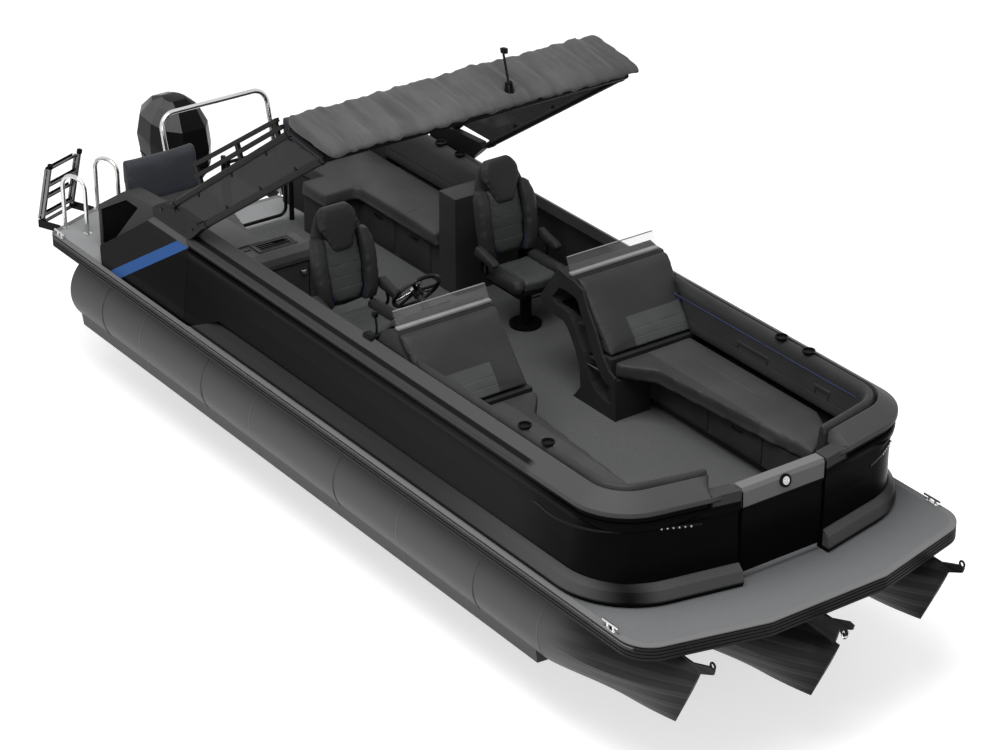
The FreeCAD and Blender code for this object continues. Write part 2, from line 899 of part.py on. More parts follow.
def bow_side_backs():
    half = size("fence_half").number
    outward = back_outer().number - half
    inward = back_inner().number - half
    seat = size("seat_height").number
    tall = size("back_height").number
    foot = size("recliner_foot_station").number
    lean = (size("recliner_top_station").number - foot) / (size("recliner_height").number - 15 - seat)
    gap = size("seat_gap").number

    def aft_at(height):
        return foot + lean * (height - seat) - 2 * gap

    backs = []
    for word, side in (("starboard", -1), ("port", 1)):
        backs.append(fence_loft("side_back_" + word, side, aft_at, size("back_end_half").number, [
            (seat + gap, outward, inward - 30), (tall - 150, outward, inward),
            (tall - 60, outward - 4, inward + 8),
            (tall - 15, outward - 16, inward + 20), (tall, outward - 36, inward + 40),
        ], 1.0))
    return group("bow_side_backs", backs)


bow_lounges()
NODES["bow_side_backs"] = bow_side_backs()


# Forward-facing recliner backs, with the consoles behind them

def recliner_profile():
    foot = size("recliner_foot_station")
    top = size("recliner_top_station")
    thick = size("recliner_thickness")
    seat = size("seat_height")
    tall = size("recliner_height")
    front = [(foot, seat), (top, tall - 15), (top + 45, tall + 12), (top + 75, tall - 8)]
    back = [(foot + thick, seat)]
    return front, back


def recliner_backs():
    front, back = recliner_profile()
    side = side_prism("recliner_back", front + back, size("recliner_inner"), back_outer())
    return both_sides("recliner_backs", side)


def console_outline():
    front, back = recliner_profile()
    foot = size("recliner_foot_station")
    seat = size("seat_height")
    nose = size("console_station")
    crown = front[3]
    return [(foot, 0), (foot, seat)] + back + [crown, (crown[0] + 70, crown[1]),
            (nose - 150, crown[1] - 40), (nose, 590), (nose - 90, 510), (nose - 310, 480), (nose - 290, 0)]


def wheel_place():
    """Centre and aft-up direction of the steering wheel."""
    tilt = math.radians(size("wheel_tilt").number)
    centre = Vector(at(size("wheel_station")).number, -size("chair_side").number,
                    up(size("wheel_height")).number)
    return centre, Vector(-math.cos(tilt), 0, math.sin(tilt))


def helm_console():
    shell = side_prism("helm_console_shell", console_outline(), -back_outer(), -size("recliner_inner"))
    centre, facing = wheel_place()
    start = centre - facing * (40 + size("seat_gap").number)
    column = feature("helm_column", Part.makeCylinder(24, 210, start, facing * -1))
    return fuse("helm_console", [shell, column])


def console_frame():
    """Head and leaning leg of the port console's side frame, from the head's top round aft."""
    nose = size("console_station")
    head = [(nose - 159, 868), (nose + 39, 592), (nose - 3, 523)]
    leg = [(nose - 221, 514), (nose - 272, 481), (nose - 356, 364), (nose - 410, 248), (nose - 423, 101)]
    return head, leg


def port_console():
    nose = size("console_station")
    seat = size("seat_height")
    inner = size("recliner_inner")
    foot = size("recliner_foot_station")
    thick = size("recliner_thickness")
    crown = recliner_profile()[0][3]
    head, leg = console_frame()
    shell = side_prism("port_console_shell", [
        (foot, 0), (foot, seat), (foot + thick, seat), crown, (crown[0] + 70, crown[1]),
    ] + head + leg + [(nose - 423, 0)], inner, back_outer())
    toe = [(nose - 370, 30), (nose - 342, 0)]
    fore = [(foot - 76, 0), (foot - 76, 121), (foot - 60, 313), (foot + 10, 345), (foot + 82, seat + 10),
            (foot + 155, 570), (foot + 249, 701), (foot + 301, 815), (foot + 382, 841), (foot + 453, 848)]
    frame = side_prism("port_console_frame", head + leg + toe + fore, inner - 18, inner)
    block = box("port_console_toe", foot, foot - 70, inner, size("base_inner") - 4, 0,
                size("seat_base_height") - 4)
    depth = inner + 330
    upper_bay = [(nose - 176, 739), (nose - 248, 744), (nose - 339, 739), (nose - 380, 715),
                 (nose - 412, 653),
                 (nose - 460, 568), (nose - 300, 568), (nose - 281, 587), (nose - 230, 600),
                 (nose - 137, 604),
                 (nose - 100, 641)]
    middle = [(nose - 461, 567), (nose - 578, 366), (nose - 449, 366), (nose - 364, 484), (nose - 322, 549),
              (nose - 301, 569)]
    lower_bay = [(nose - 578, 365), (nose - 611, 312), (nose - 662, 258), (nose - 700, 245),
                 (nose - 700, 108),
                 (nose - 686, 110), (nose - 595, 133), (nose - 533, 183), (nose - 491, 261),
                 (nose - 449, 367)]
    toe_bay = [(nose - 699, 246), (nose - 743, 231), (nose - 751, 104), (nose - 699, 107)]
    bays = [side_prism("port_console_upper_bay", upper_bay, inner - 40, depth),
            side_prism("port_console_middle", middle, inner - 40, inner + 24),
            side_prism("port_console_lower_bay", lower_bay, inner - 40, depth),
            side_prism("port_console_toe_bay", toe_bay, inner - 40, inner + 2)]
    return cut("port_console", fuse("port_console_whole", [shell, frame, block]),
               fuse("port_console_bays", bays))


def windshields():
    crown = recliner_profile()[0][3]
    foot_station = crown[0] + 25
    foot_height = crown[1] + size("seat_gap")
    glass = size("glass_thickness")
    top = foot_height + size("glass_height")
    pane = side_prism("windshield", [
        (foot_station, foot_height), (foot_station + 55, top), (foot_station + 55 + glass, top),
        (foot_station + glass, foot_height),
    ], size("recliner_inner") + 10, back_outer() - 30)
    return both_sides("windshields", pane)


NODES["recliner_backs"] = recliner_backs()
NODES["helm_console"] = helm_console()
NODES["port_console"] = port_console()
NODES["windshields"] = windshields()


# Steering wheel, tilted towards the helm chair

def steering_wheel():
    rim_radius = size("wheel_radius").number
    thick = size("wheel_rim").number
    rim = Part.makeTorus(rim_radius - thick, thick)
    hub = Part.makeCylinder(34, 46, Vector(0, 0, -40))
    spokes = [Part.makeBox(rim_radius - thick, 26, 10, Vector(0, -13, -5)) for index in range(3)]
    for index, spoke in enumerate(spokes):
        spoke.rotate(Vector(0, 0, 0), Vector(0, 0, 1), 90 + 120 * index)
    shape = rim.fuse([hub] + spokes)
    wheel = feature("steering_wheel", shape.removeSplitter())
    centre, facing = wheel_place()
    wheel.Placement = FreeCAD.Placement(centre, FreeCAD.Rotation(Vector(0, 0, 1), facing))
    return wheel


NODES["steering_wheel"] = steering_wheel()


# Swivel chairs on round pedestals

def chair(name, side):
    bow = size("bow_x").number
    middle = (size("chair_station") + size("chair_slide")).number
    deck_level = size("deck_top").number
    seat = size("chair_seat_height").number
    tall = size("chair_height").number
    half = size("chair_half").number
    across = side.number

    def loft(label, rings):
        wires = []
        for height, outline in rings:
            places = [Vector(bow - middle - aft, across + y, deck_level + height) for aft, y in outline]
            wires.append(Part.makePolygon(places + [places[0]]))
        return feature(name + label, Part.makeLoft(wires, True, True))

    def seat_ring(height, front, back, wide):
        return height, [(back, wide), (back, -wide), (front + 60, -wide), (front, 60 - wide),
                        (front, wide - 60),
                        (front + 60, wide)]

    def back_ring(height, wide, front, deep, wing):
        ear = wide * 0.30
        row = [(front + deep * 0.7, wide), (front + 8, wide), (front - wing, wide - ear * 0.35),
               (front - wing, wide - ear * 0.8), (front, wide - ear * 1.35)]
        far = [(aft, -y) for aft, y in reversed(row)]
        return height, row + far + [(front + deep, 0.3 * wide - wide), (front + deep, wide - 0.3 * wide)]

    cushion = loft("_seat", [
        seat_ring(seat - 115, -250, 130, half * 0.76), seat_ring(seat - 85, -290, 140, half * 0.90),
        seat_ring(seat - 25, -300, 140, half * 0.92), seat_ring(seat + 8, -280, 130, half * 0.86),
        seat_ring(seat + 20, -225, 110, half * 0.70),
    ])
    back = loft("_back", [
        back_ring(seat - 60, half * 0.84, 95, 96, 20), back_ring(seat + 100, half * 0.95, 104, 108, 42),
        back_ring(seat + 290, half, 138, 112, 45), back_ring(seat + 450, half * 0.95, 176, 108, 40),
        back_ring(seat + 560, half * 0.84, 206, 100, 30), back_ring(tall - 60, half * 0.62, 230, 90, 14),
        back_ring(tall, half * 0.44, 252, 72, 4),
    ])
    arms = []
    for label, way in (("inner", -1), ("outer", 1)):
        low_side = side + way * (size("chair_half") + 5) - 25
        rise = size("chair_seat_height")
        centre = size("chair_station") + size("chair_slide")
        arms.append(side_prism(name + "_arm_" + label, [
            (centre + 150, rise + 90), (centre - 80, rise + 70), (centre - 100, rise + 88),
            (centre - 92, rise + 112),
            (centre + 130, rise + 178), (centre + 165, rise + 178),
        ], low_side, low_side + 50))
    under = size("chair_seat_height") - 150
    centre = size("chair_station")
    plate = box(name + "_plate", centre + 130, centre - 130, side - 130, side + 130, under + 16, under + 40)
    return fuse(name, [cushion, back, plate] + arms)


def chair_pedestals():
    stands = []
    for word, side in (("starboard", -size("chair_side")), ("port", size("chair_side"))):
        centre = at(size("chair_station"))
        foot = rod("pedestal_foot_" + word, size("pedestal_radius"), 22, centre, side, up(sized(0)))
        post = rod("pedestal_post_" + word, size("pedestal_post"),
                   size("chair_seat_height") - 134 - size("seat_gap"), centre, side, up(sized(0)))
        stands.append(fuse("pedestal_" + word, [foot, post]))
    return group("chair_pedestals", stands)


NODES["chair_pedestals"] = chair_pedestals()
NODES["helm_chair"] = chair("helm_chair", -size("chair_side"))
NODES["companion_chair"] = chair("companion_chair", size("chair_side"))


# Aft lounge to port and the cabinet to starboard

def aft_furniture():
    fore = size("aft_lounge_station")
    aft = size("aft_lounge_end")
    outer = size("fence_half") - size("fence_wall") - 30
    leg = aft - size("aft_leg_depth")
    inner = size("seat_inner")
    base = plan_prism("aft_lounge_box", [
        (fore, outer), (aft, outer), (aft, size("aft_leg_inner") + 40),
        (leg + 60, size("aft_leg_inner") + 40),
        (leg + 60, inner + 30), (fore, inner + 30),
    ], 0, size("seat_base_height"))
    end = box("end_cabinet", fore, fore - size("end_cabinet_depth"), inner, back_outer(), 0,
              size("end_cabinet_height"))
    NODES["aft_lounge_base"] = fuse("aft_lounge_base", [base, end])
    lounge_seat = plan_prism("aft_lounge_seat", [
        (fore + 2, back_inner() - 4), (aft, back_inner() - 4), (aft, size("aft_leg_inner")),
        (leg, size("aft_leg_inner")), (leg, inner - 30), (fore + 2, inner - 30),
    ], size("seat_base_height"), size("seat_height"))
    lounge_back = prism("aft_lounge_back", "YZ_Plane", [
        (back_inner() - 40, up(size("seat_height") + size("seat_gap"))),
        (back_outer(), up(size("seat_height") + size("seat_gap"))),
        (back_outer(), up(size("back_height"))), (back_inner() + 20, up(size("back_height"))),
    ], at(aft), at(fore + 2))
    front = size("cabinet_station")
    rear = size("cabinet_end")
    tall = size("cabinet_height")
    cabinet = side_prism("cabinet_box", [
        (front, 0), (front, tall - 70), (front + 14, tall - 26), (front + 80, tall), (rear, tall), (rear, 0),
    ], -outer, -size("cabinet_inner"))
    seat = size("seat_height") + size("seat_gap")
    shelf = box("cabinet_shelf", size("coaming_end"), rear - 20, -outer, -size("coaming_inner"), seat,
                size("coaming_height"))
    rail = box("cabinet_rail", size("stern_arm_station") - size("panel_seam"), rear - 20, -outer,
               size("stern_arm_width") - outer, seat, size("coaming_height"))
    slot = box("cabinet_slot", front + 214, front + 114, -size("cabinet_inner") - 210,
               -size("cabinet_inner") - 90,
               tall - 14, tall + 10)
    NODES["aft_cabinet"] = cut("aft_cabinet", fuse("cabinet_whole", [cabinet, shelf, rail]), slot)
    inner_edge = size("stern_box_inner")
    NODES["aft_seats"] = group("aft_seats", [lounge_seat] + stern_cushions(outer, inner_edge - 20))
    NODES["aft_backs"] = group("aft_backs", [lounge_back] + stern_backrests(outer, inner_edge - 20))
    NODES["stern_boxes"] = stern_boxes(outer, inner_edge)


def chaise_edge(fore, inner):
    """Inboard edge of the starboard chaise, from aft to fore."""
    return [(size("stern_arm_station") + 50, -inner - 60), (size("coaming_end") - 110, -inner - 200),
            (fore, -inner - 220)]


def stern_cushions(outer, inner):
    low = size("seat_base_height")
    high = size("seat_height")
    stop = size("stern_back_station") - size("seat_gap")
    arm = outer - size("stern_arm_width") - size("seat_gap")
    arm_start = size("stern_arm_station") - size("seat_gap")
    fore = size("cabinet_end") + size("seat_gap")
    chaise = plan_prism("chaise_cushion", [
        (fore, -outer + 5), (arm_start, -outer + 5), (arm_start, -arm), (stop, -arm), (stop, -inner),
    ] + chaise_edge(fore, inner), low, high)
    port_fore = size("aft_lounge_end") + size("panel_seam") * 2
    port = plan_prism("stern_cushion", [
        (port_fore, arm), (stop, arm), (stop, inner), (port_fore, inner + 35),
    ], low, high)
    return [chaise, port]


def stern_backrests(outer, inner):
    foot = size("stern_back_station")
    base = size("seat_base_height") + size("seat_gap")
    tall = size("stern_back_height")
    arm = outer - size("stern_arm_width") - size("seat_gap")
    profile = [(foot, base), (foot, size("seat_height") + 10), (foot + 52, tall - 14), (foot + 68, tall),
               (foot + 122, tall), (foot + 134, tall - 12), (foot + 110, base)]
    return [side_prism("stern_back_port", profile, inner, arm),
            side_prism("stern_back_starboard", profile, -arm, -inner)]


def stern_boxes(outer, inner):
    """Seat bases by the stern, each with an outboard arm that has an open bay."""
    aft = size("stern_box_end")
    end = size("stern_arm_end")
    high = size("seat_base_height")
    wide = size("stern_arm_width")
    fore = size("cabinet_end") + size("seat_gap")
    port_fore = size("aft_lounge_end") + size("panel_seam") * 2

    def arm(name, start, low_side, high_side):
        return side_prism(name, [
            (end, 0), (end, 350), (end - 400, 600), (end - 510, 612), (start, 640), (start, 0),
        ], low_side, high_side)

    def bay(name, low_side, high_side):
        return side_prism(name, [
            (end - 40, 60), (end - 40, 330), (end - 430, 545), (end - 600, 545), (end - 130, 60),
        ], low_side, high_side)

    outline = [(fore, -outer), (aft, -outer), (aft, -inner)] + chaise_edge(fore, inner)
    chaise = plan_prism("chaise_box", outline, 0, high)
    arm_starboard = arm("arm_starboard", size("stern_arm_station"), -outer, wide - outer)
    starboard = cut("stern_box_starboard", fuse("chaise_whole", [chaise, arm_starboard]),
                    bay("bay_starboard", -outer - 20, wide - outer - 40))
    outline = [(port_fore, outer), (aft, outer), (aft, inner), (port_fore, inner + 35)]
    box_port = plan_prism("stern_box_plan", outline, 0, high)
    port = cut("stern_box_port",
               fuse("port_whole", [box_port, arm("arm_port", port_fore, outer - wide, outer)]),
               bay("bay_port", outer - wide + 40, outer + 20))
    return group("stern_boxes", [starboard, port])


aft_furniture()


# Aft gate in the passage between the stern boxes

def aft_gate():
    station = size("aft_gate_station")
    half = size("aft_gate_half")
    tall = size("aft_gate_height")
    radius = size("post_radius")
    x = at(station).number
    side = half.number
    low = up(sized(60)).number
    high = up(tall).number
    bar = radius.number * 0.7
    stile = radius.number * 0.85
    frame = bent_rod(bar, [Vector(x, -side + 40, low), Vector(x, side - 50, low), Vector(x, side - 50, high),
                           Vector(x, -side + 40, high)], 60)
    hinge_side = Part.makeCylinder(stile, high - low + 2 * stile, Vector(x, -side + 40, low - stile))
    return feature("aft_gate", frame.fuse(hinge_side).removeSplitter())


def aft_gate_posts():
    station = size("aft_gate_station")
    half = size("aft_gate_half")
    tall = size("aft_gate_height")
    posts = [rod("gate_post_" + word, size("post_radius"), tall + 60, at(station), way * half, up(sized(0)))
             for word, way in (("starboard", -1), ("port", 1))]
    reach = size("post_radius") * 0.85 + size("seat_gap")
    lugs = []
    for label, low in (("foot", sized(60) - reach - 12), ("head", tall + reach)):
        lugs.append(box("gate_lug_" + label, station + 11, station - 11, -half, -half + 52, low, low + 12))
    hinge_post = fuse("hinge_post", [posts[0]] + lugs)
    return group("aft_gate_posts", [hinge_post, posts[1]])


NODES["aft_gate"] = aft_gate()
NODES["aft_gate_posts"] = aft_gate_posts()


# Boarding ladder, folded up on the slanted edge of the starboard platform, and its hoops

def platform_edge():
    """Starboard corner, unit direction along the slanted edge inboard, and unit direction outward."""
    start = Vector(at(size("stern_corner_station")).number, -size("half_beam").number, 0)
    end = Vector(at(size("stern_station")).number, -size("stern_wing").number, 0)
    along = (end - start).normalize()
    outward = Vector(-along.y, along.x, 0)
    if outward.x > 0:
        outward = outward * -1
    return start, along, outward


def ladder_points():
    start, along, outward = platform_edge()
    middle = start + along * ((size("half_beam").number - size("ladder_side").number) / abs(along.y))
    pivot = middle + outward * size("ladder_reach").number
    pivot.z = up(sized(-20)).number
    return pivot, along, outward


def ladder():
    pivot, along, outward = ladder_points()
    half = size("ladder_width").number / 2
    length = size("ladder_length").number
    radius = size("rail_radius").number
    rise = (Vector(0, 0, length) - outward * size("ladder_lean").number).normalize()
    pieces = []
    for way in (-1, 1):
        foot = pivot + along * (half * way)
        pieces.append(Part.makeCylinder(radius, length, foot, rise))
        pieces.append(Part.makeCylinder(radius * 0.8, length - 60,
                                        foot + outward * 2.1 * radius + rise * 30, rise))
        pieces.append(Part.makeCylinder(radius * 0.6, radius * 2.2, foot + rise * 60, outward))
        pieces.append(Part.makeCylinder(radius * 0.6, radius * 2.2, foot + rise * (length - 90), outward))
    rungs = int(size("ladder_rungs").number)
    for index in range(rungs):
        level = 60 + index * (length - 100) / (rungs - 1)
        start = pivot - along * half + rise * level + outward * 2.1 * radius * (index % 2)
        pieces.append(Part.makeCylinder(radius * 0.7, 2 * half, start, along))
    pin = size("ladder_pin").number
    barrel = Part.makeCylinder(radius * 0.9, 2 * (half + pin), pivot - along * (half + pin), along)
    return feature("ladder", barrel.fuse(pieces).removeSplitter())


def ladder_brackets():
    pivot, along, outward = ladder_points()
    radius = size("rail_radius").number
    half = size("ladder_width").number / 2
    gap = size("seat_gap").number
    ears = []
    for way in (-1, 1):
        base = pivot + along * way * (half + size("ladder_pin").number + gap)
        arm = Part.makeBox(size("ladder_reach").number + radius, 12, 60)
        placement = FreeCAD.Placement(Vector(0, 0, 0), FreeCAD.Rotation(Vector(1, 0, 0), -outward))
        shape = arm.copy()
        shape.translate(Vector(-radius, 0 if way > 0 else -12, -30))
        shape.Placement = placement.multiply(shape.Placement)
        shape.translate(base)
        ears.append(shape)
    return feature("ladder_brackets", Part.makeCompound(ears))


def grab_hoops():
    pivot, along, outward = ladder_points()
    radius = size("rail_radius").number
    half = size("ladder_width").number / 2
    tall = size("hoop_height").number
    deep = size("hoop_depth").number
    top = up(sized(0)).number
    hoops = []
    for way in (-1, 1):
        outer = pivot + along * way * (half + size("ladder_pin").number)
        outer = outer - outward * (size("ladder_reach").number + 45)
        outer.z = top
        inner = outer - outward * deep
        crown = Vector(0, 0, tall)
        hoops.append(bent_rod(radius, [inner, inner + crown, outer + crown, outer], deep * 0.46))
    return hoops


NODES["ladder"] = ladder()
NODES["ladder_brackets"] = ladder_brackets()


# Tow bar over the engine well

def tow_bar():
    x = at(size("tow_station")).number
    half = size("tow_half").number
    low = up(sized(0)).number
    high = up(size("tow_height")).number
    lean = Vector(-size("tow_lean").number, 0, 0)
    points = [Vector(x, -half, low), Vector(x, -half, high) + lean, Vector(x, half, high) + lean,
              Vector(x, half, low)]
    bar = bent_rod(size("tow_radius").number, points, size("tow_bend").number)
    feet = [Part.makeCylinder(size("tow_radius").number * 2, 14, Vector(x, way * half, low)) for way in (-1,
                                                                                                         1)]
    under = Part.makeBox(400, 2 * half + 400, 60, Vector(x - 200, -half - 200, low - 60))
    return bar.fuse(feet).cut(under).removeSplitter()


NODES["stern_rails"] = feature("stern_rails", Part.makeCompound(grab_hoops() + [tow_bar()]))


# Engine: pod, tilting bracket, steered head and leg, propeller

def transom_pod():
    fore = size("tube_aft_station")
    aft = size("transom_station")
    half = size("pod_half")
    block = side_prism("transom_pod", [
        (fore, -size("trim_height") - 560), (fore, -size("trim_height") - 40),
        (aft - 60, -size("trim_height") - 40), (aft, size("tilt_height") - 60),
        (aft, -size("trim_height") - 470),
    ], -half, half)
    return block


def engine_bracket():
    fore = size("transom_station")
    pivot = size("tilt_station")
    level = size("tilt_height")
    cheeks = []
    for label, way in (("starboard", -1), ("port", 1)):
        low_side = way * sized(60) - 14
        cheeks.append(side_prism("bracket_cheek_" + label, [
            (fore, level - 80), (fore, level - 420), (fore + 60, level - 420), (pivot - 10, level - 120),
            (pivot + 34, level - 20), (pivot + 30, level + 30), (pivot - 30, level + 34),
            (fore + 20, level - 20),
        ], low_side, low_side + 28))
    return cheeks


NODES["transom_pod"] = transom_pod()
clamp = engine_bracket()
NODES["clamp_bracket"] = fuse("clamp_bracket", clamp + [
    pivot_pin("tilt_pin", 16, sized(80), size("tilt_station"), size("tilt_height"))])


def swivel_bracket():
    pivot = size("tilt_station")
    steer = size("steer_station")
    level = size("tilt_height")
    block = side_prism("swivel_block", [
        (pivot - 34, level - 30), (pivot - 34, level + 34), (pivot + 20, level + 40),
        (steer + 24, level + 40),
        (steer + 24, level - 340), (steer - 26, level - 340), (steer - 50, level - 60),
    ], -44, 44)
    bore = pivot_pin("tilt_bore", sized(16) + size("seat_gap"), sized(90), pivot, level)
    king_bore = rod("king_bore", sized(18) + size("seat_gap"), sized(500), at(steer), sized(0),
                    up(level - 400))
    return cut("swivel_bracket", block, fuse("swivel_bores", [bore, king_bore]))


NODES["swivel_bracket"] = swivel_bracket()


def cowl():
    fore = size("cowl_front_station").number
    aft = size("cowl_aft_station").number
    low = up(size("cowl_bottom")).number
    high = up(size("cowl_top")).number
    half = size("cowl_half").number
    bow = size("bow_x").number
    tall = high - low

    def ring(level, front, back, wide, nose, tail):
        points = [
            (front, nose * wide), (front + 0.16 * (back - front), 0.92 * wide),
            (front + 0.45 * (back - front), wide),
            (front + 0.78 * (back - front), 0.86 * wide), (back, tail * wide),
        ]
        places = [Vector(bow - x, y, level) for x, y in points] + [Vector(bow - x, -y, level) for x,
                                                                   y in reversed(points)]
        return Part.makePolygon(places + [places[0]])

    rings = [
        ring(low, fore + 90, aft - 190, half * 0.72, 0.5, 0.5),
        ring(low + 0.16 * tall, fore + 20, aft - 60, half * 0.96, 0.5, 0.42),
        ring(low + 0.45 * tall, fore, aft, half, 0.5, 0.34),
        ring(low + 0.72 * tall, fore + 30, aft - 60, half * 0.94, 0.5, 0.36),
        ring(low + 0.93 * tall, fore + 120, aft - 230, half * 0.66, 0.55, 0.5),
        ring(high, fore + 230, aft - 360, half * 0.40, 0.7, 0.6),
    ]
    return feature("engine_cowl", Part.makeLoft(rings, True, True))


def engine_leg():
    steer = size("steer_station")
    low = size("cowl_bottom")
    plate = size("plate_height")
    skeg = size("skeg_height")
    neck = side_prism("leg_neck", [
        (steer + 50, low), (steer + 330, low), (steer + 260, low - 180), (steer + 230, plate + 20),
        (steer + 70, plate + 20), (steer + 50, low - 560),
    ], -55, 55)
    plank = side_prism("cavitation_plate", [
        (steer + 20, plate), (steer + 20, plate + 20), (steer + 420, plate + 20), (steer + 420, plate),
    ], -120, 120)
    fin = side_prism("leg_fin", [
        (steer + 60, plate), (steer + 230, plate), (steer + 215, plate - 150), (steer + 190, skeg + 20),
        (steer + 130, skeg), (steer + 70, plate - 170),
    ], -14, 14)
    case = rod("gearcase", size("gearcase_radius"), 330, at(steer + 330), sized(0), up(plate - 200),
               Vector(0, 1, 0), 90)
    nose = doc.addObject("Part::Cone", "gearcase_nose")
    nose.setExpression("Radius1", size("gearcase_radius").formula)
    nose.Radius2 = 12
    nose.Height = 110
    nose.Placement = FreeCAD.Placement(Vector(0, 0, 0), FreeCAD.Rotation(Vector(0, 1, 0), 90))
    nose.setExpression("Placement.Base.x", at(steer).formula)
    nose.setExpression("Placement.Base.z", up(plate - 200).formula)
    level = size("tilt_height")
    pin = rod("king_pin", 18, sized(430), at(steer), sized(0), up(level - 370))
    yokes = [box("yoke_low", steer + 60, steer - 24, -24, 24, level - 375, level - 346),
             box("yoke_high", steer + 60, steer - 24, -24, 24, level + 46, level + 75)]
    return fuse("engine_leg", [neck, plank, fin, case, nose, pin] + yokes)


def propeller():
    steer = size("steer_station").number
    x = size("bow_x").number - steer - 330 - size("seat_gap").number
    level = up(size("plate_height") - 200).number
    hub = Part.makeCone(52, 36, 120, Vector(0, 0, 0), Vector(-1, 0, 0))
    blades = []
    reach = size("propeller_radius").number
    for index in range(3):
        root = Part.makePolygon([Vector(-14, -8, 30), Vector(-96, 30, 30), Vector(-104, 22, 30),
                                 Vector(-22, -16, 30),
                                 Vector(-14, -8, 30)])
        mid = Part.makePolygon([Vector(-4, -58, reach * 0.66), Vector(-104, 60, reach * 0.66),
                                Vector(-110, 52, reach * 0.66), Vector(-10, -66, reach * 0.66),
                                Vector(-4, -58, reach * 0.66)])
        tip = Part.makePolygon([Vector(-46, -10, reach), Vector(-84, 30, reach), Vector(-88, 24, reach),
                                Vector(-50, -16, reach), Vector(-46, -10, reach)])
        blade = Part.makeLoft([root, mid, tip], True, True)
        blade.rotate(Vector(0, 0, 0), Vector(1, 0, 0), 120 * index)
        blades.append(blade)
    shape = hub.fuse(blades).removeSplitter()
    shape.translate(Vector(x, 0, level))
    return feature("propeller", shape)


NODES["engine_cowl"] = cowl()
NODES["engine_leg"] = engine_leg()
NODES["propeller"] = propeller()


# Arch legs with smoked panels, board racks, rolled canopy and anchor light

def arch_places(side):
    rear_foot = Vector(at(size("arch_foot_station")).number, side, up(size("arch_foot_height")).number)
    rear_top = Vector(at(size("arch_top_station")).number, side, up(size("arch_height")).number)
    front_foot = Vector(at(size("arch_front_foot_station")).number, side, up(size("arch_foot_height")).number)
    front_top = Vector(at(size("arch_front_top_station")).number, side, up(arch_front_height()).number)
    return rear_foot, rear_top, front_foot, front_top


def arch_legs():
    seats = [NODES["rail_caps"].Shape, NODES["quarter_panels"].Shape]
    bar = size("arch_tube").number
    rail = size("fence_height").number + 4
    legs = []
    for way in (-1, 1):
        side = way * arch_side()
        rear_foot, rear_top, front_foot, front_top = arch_places(side)
        inner = side - way * 45
        foot = size("arch_foot_station").number
        front = size("arch_front_foot_station").number
        top = size("arch_foot_height").number + 14
        outline = [(foot + 265, rail), (foot + 265, rail + 66), (foot + 250, rail + 82),
                   (foot + 100, top - 22),
                   (front + 48, top), (front + 10, top - 35), (front + 110, rail + 66), (front + 190, rail)]
        corners = [Vector(at(sized(station)).number, inner, up(sized(height)).number) for station,
                   height in outline]
        base = Part.Face(Part.makePolygon(corners + [corners[0]])).extrude(Vector(0, way * 56, 0))
        base = base.cut(seats)
        rear = Part.makeCylinder(bar, (rear_top - rear_foot).Length, rear_foot, rear_top - rear_foot)
        front_leg = Part.makeCylinder(bar, (front_top - front_foot).Length, front_foot,
                                      front_top - front_foot)
        head = Part.makeCylinder(bar, (front_top - rear_top).Length, rear_top, front_top - rear_top)
        legs.append(base.fuse([rear, front_leg, head] + board_rack(side)).removeSplitter())
    crosses = []
    for station, height in ((size("arch_top_station"), size("arch_height")),
                            (size("arch_front_top_station"), arch_front_height())):
        start = Vector(at(station).number, -arch_side(), up(height).number)
        crosses.append(Part.makeCylinder(bar, 2 * arch_side(), start, Vector(0, 1, 0)))
    return feature("arch_frame", legs[0].fuse([legs[1]] + crosses + mast_bracket()).removeSplitter())


def board_rack(side):
    """Two square bars above the rear tube, on three brackets."""
    rear_foot, rear_top = arch_places(side)[:2]
    along = (rear_top - rear_foot).normalize()
    above = Vector(-along.z, 0, along.x)
    length = (rear_top - rear_foot).Length

    def strip(start, end, half, wide):
        run = (end - start).normalize()
        across = Vector(-run.z, 0, run.x) * half
        corners = [start - across, end - across, end + across, start + across]
        face = Part.Face(Part.makePolygon(corners + [corners[0]]))
        bar = face.extrude(Vector(0, wide, 0))
        bar.translate(Vector(0, -wide / 2, 0))
        return bar

    def place(reach, level):
        return rear_foot + along * (length * reach) + above * level

    bars = [strip(place(0.25, 84), place(0.95, 62), 14, 30),
            strip(place(0.27, 160), place(0.93, 118), 14, 30)]
    brackets = [strip(place(reach, 5), place(reach + 0.012, level), 22, 22)
                for reach, level in ((0.265, 168), (0.60, 138), (0.90, 122))]
    return bars + brackets


def arch_panels():
    bar = size("arch_tube").number
    panes = []
    for way in (-1, 1):
        side = way * arch_side()
        rear_foot, rear_top, front_foot, front_top = arch_places(side)
        inset = bar + size("seat_gap").number
        along_rear = (rear_top - rear_foot).normalize()
        along_front = (front_top - front_foot).normalize()
        to_front = Vector(along_rear.z, 0, -along_rear.x)
        to_rear = Vector(-along_front.z, 0, along_front.x)
        corners = [rear_foot + along_rear * 120 + to_front * inset,
                   front_foot + along_front * 40 + to_rear * inset,
                   front_top - along_front * 90 + to_rear * inset,
                   rear_top - along_rear * 90 + to_front * inset]
        face = Part.Face(Part.makePolygon(corners + [corners[0]]))
        pane = face.extrude(Vector(0, 6, 0))
        pane.translate(Vector(0, -3, 0))
        panes.append(pane)
    return feature("arch_panels", Part.makeCompound(panes))


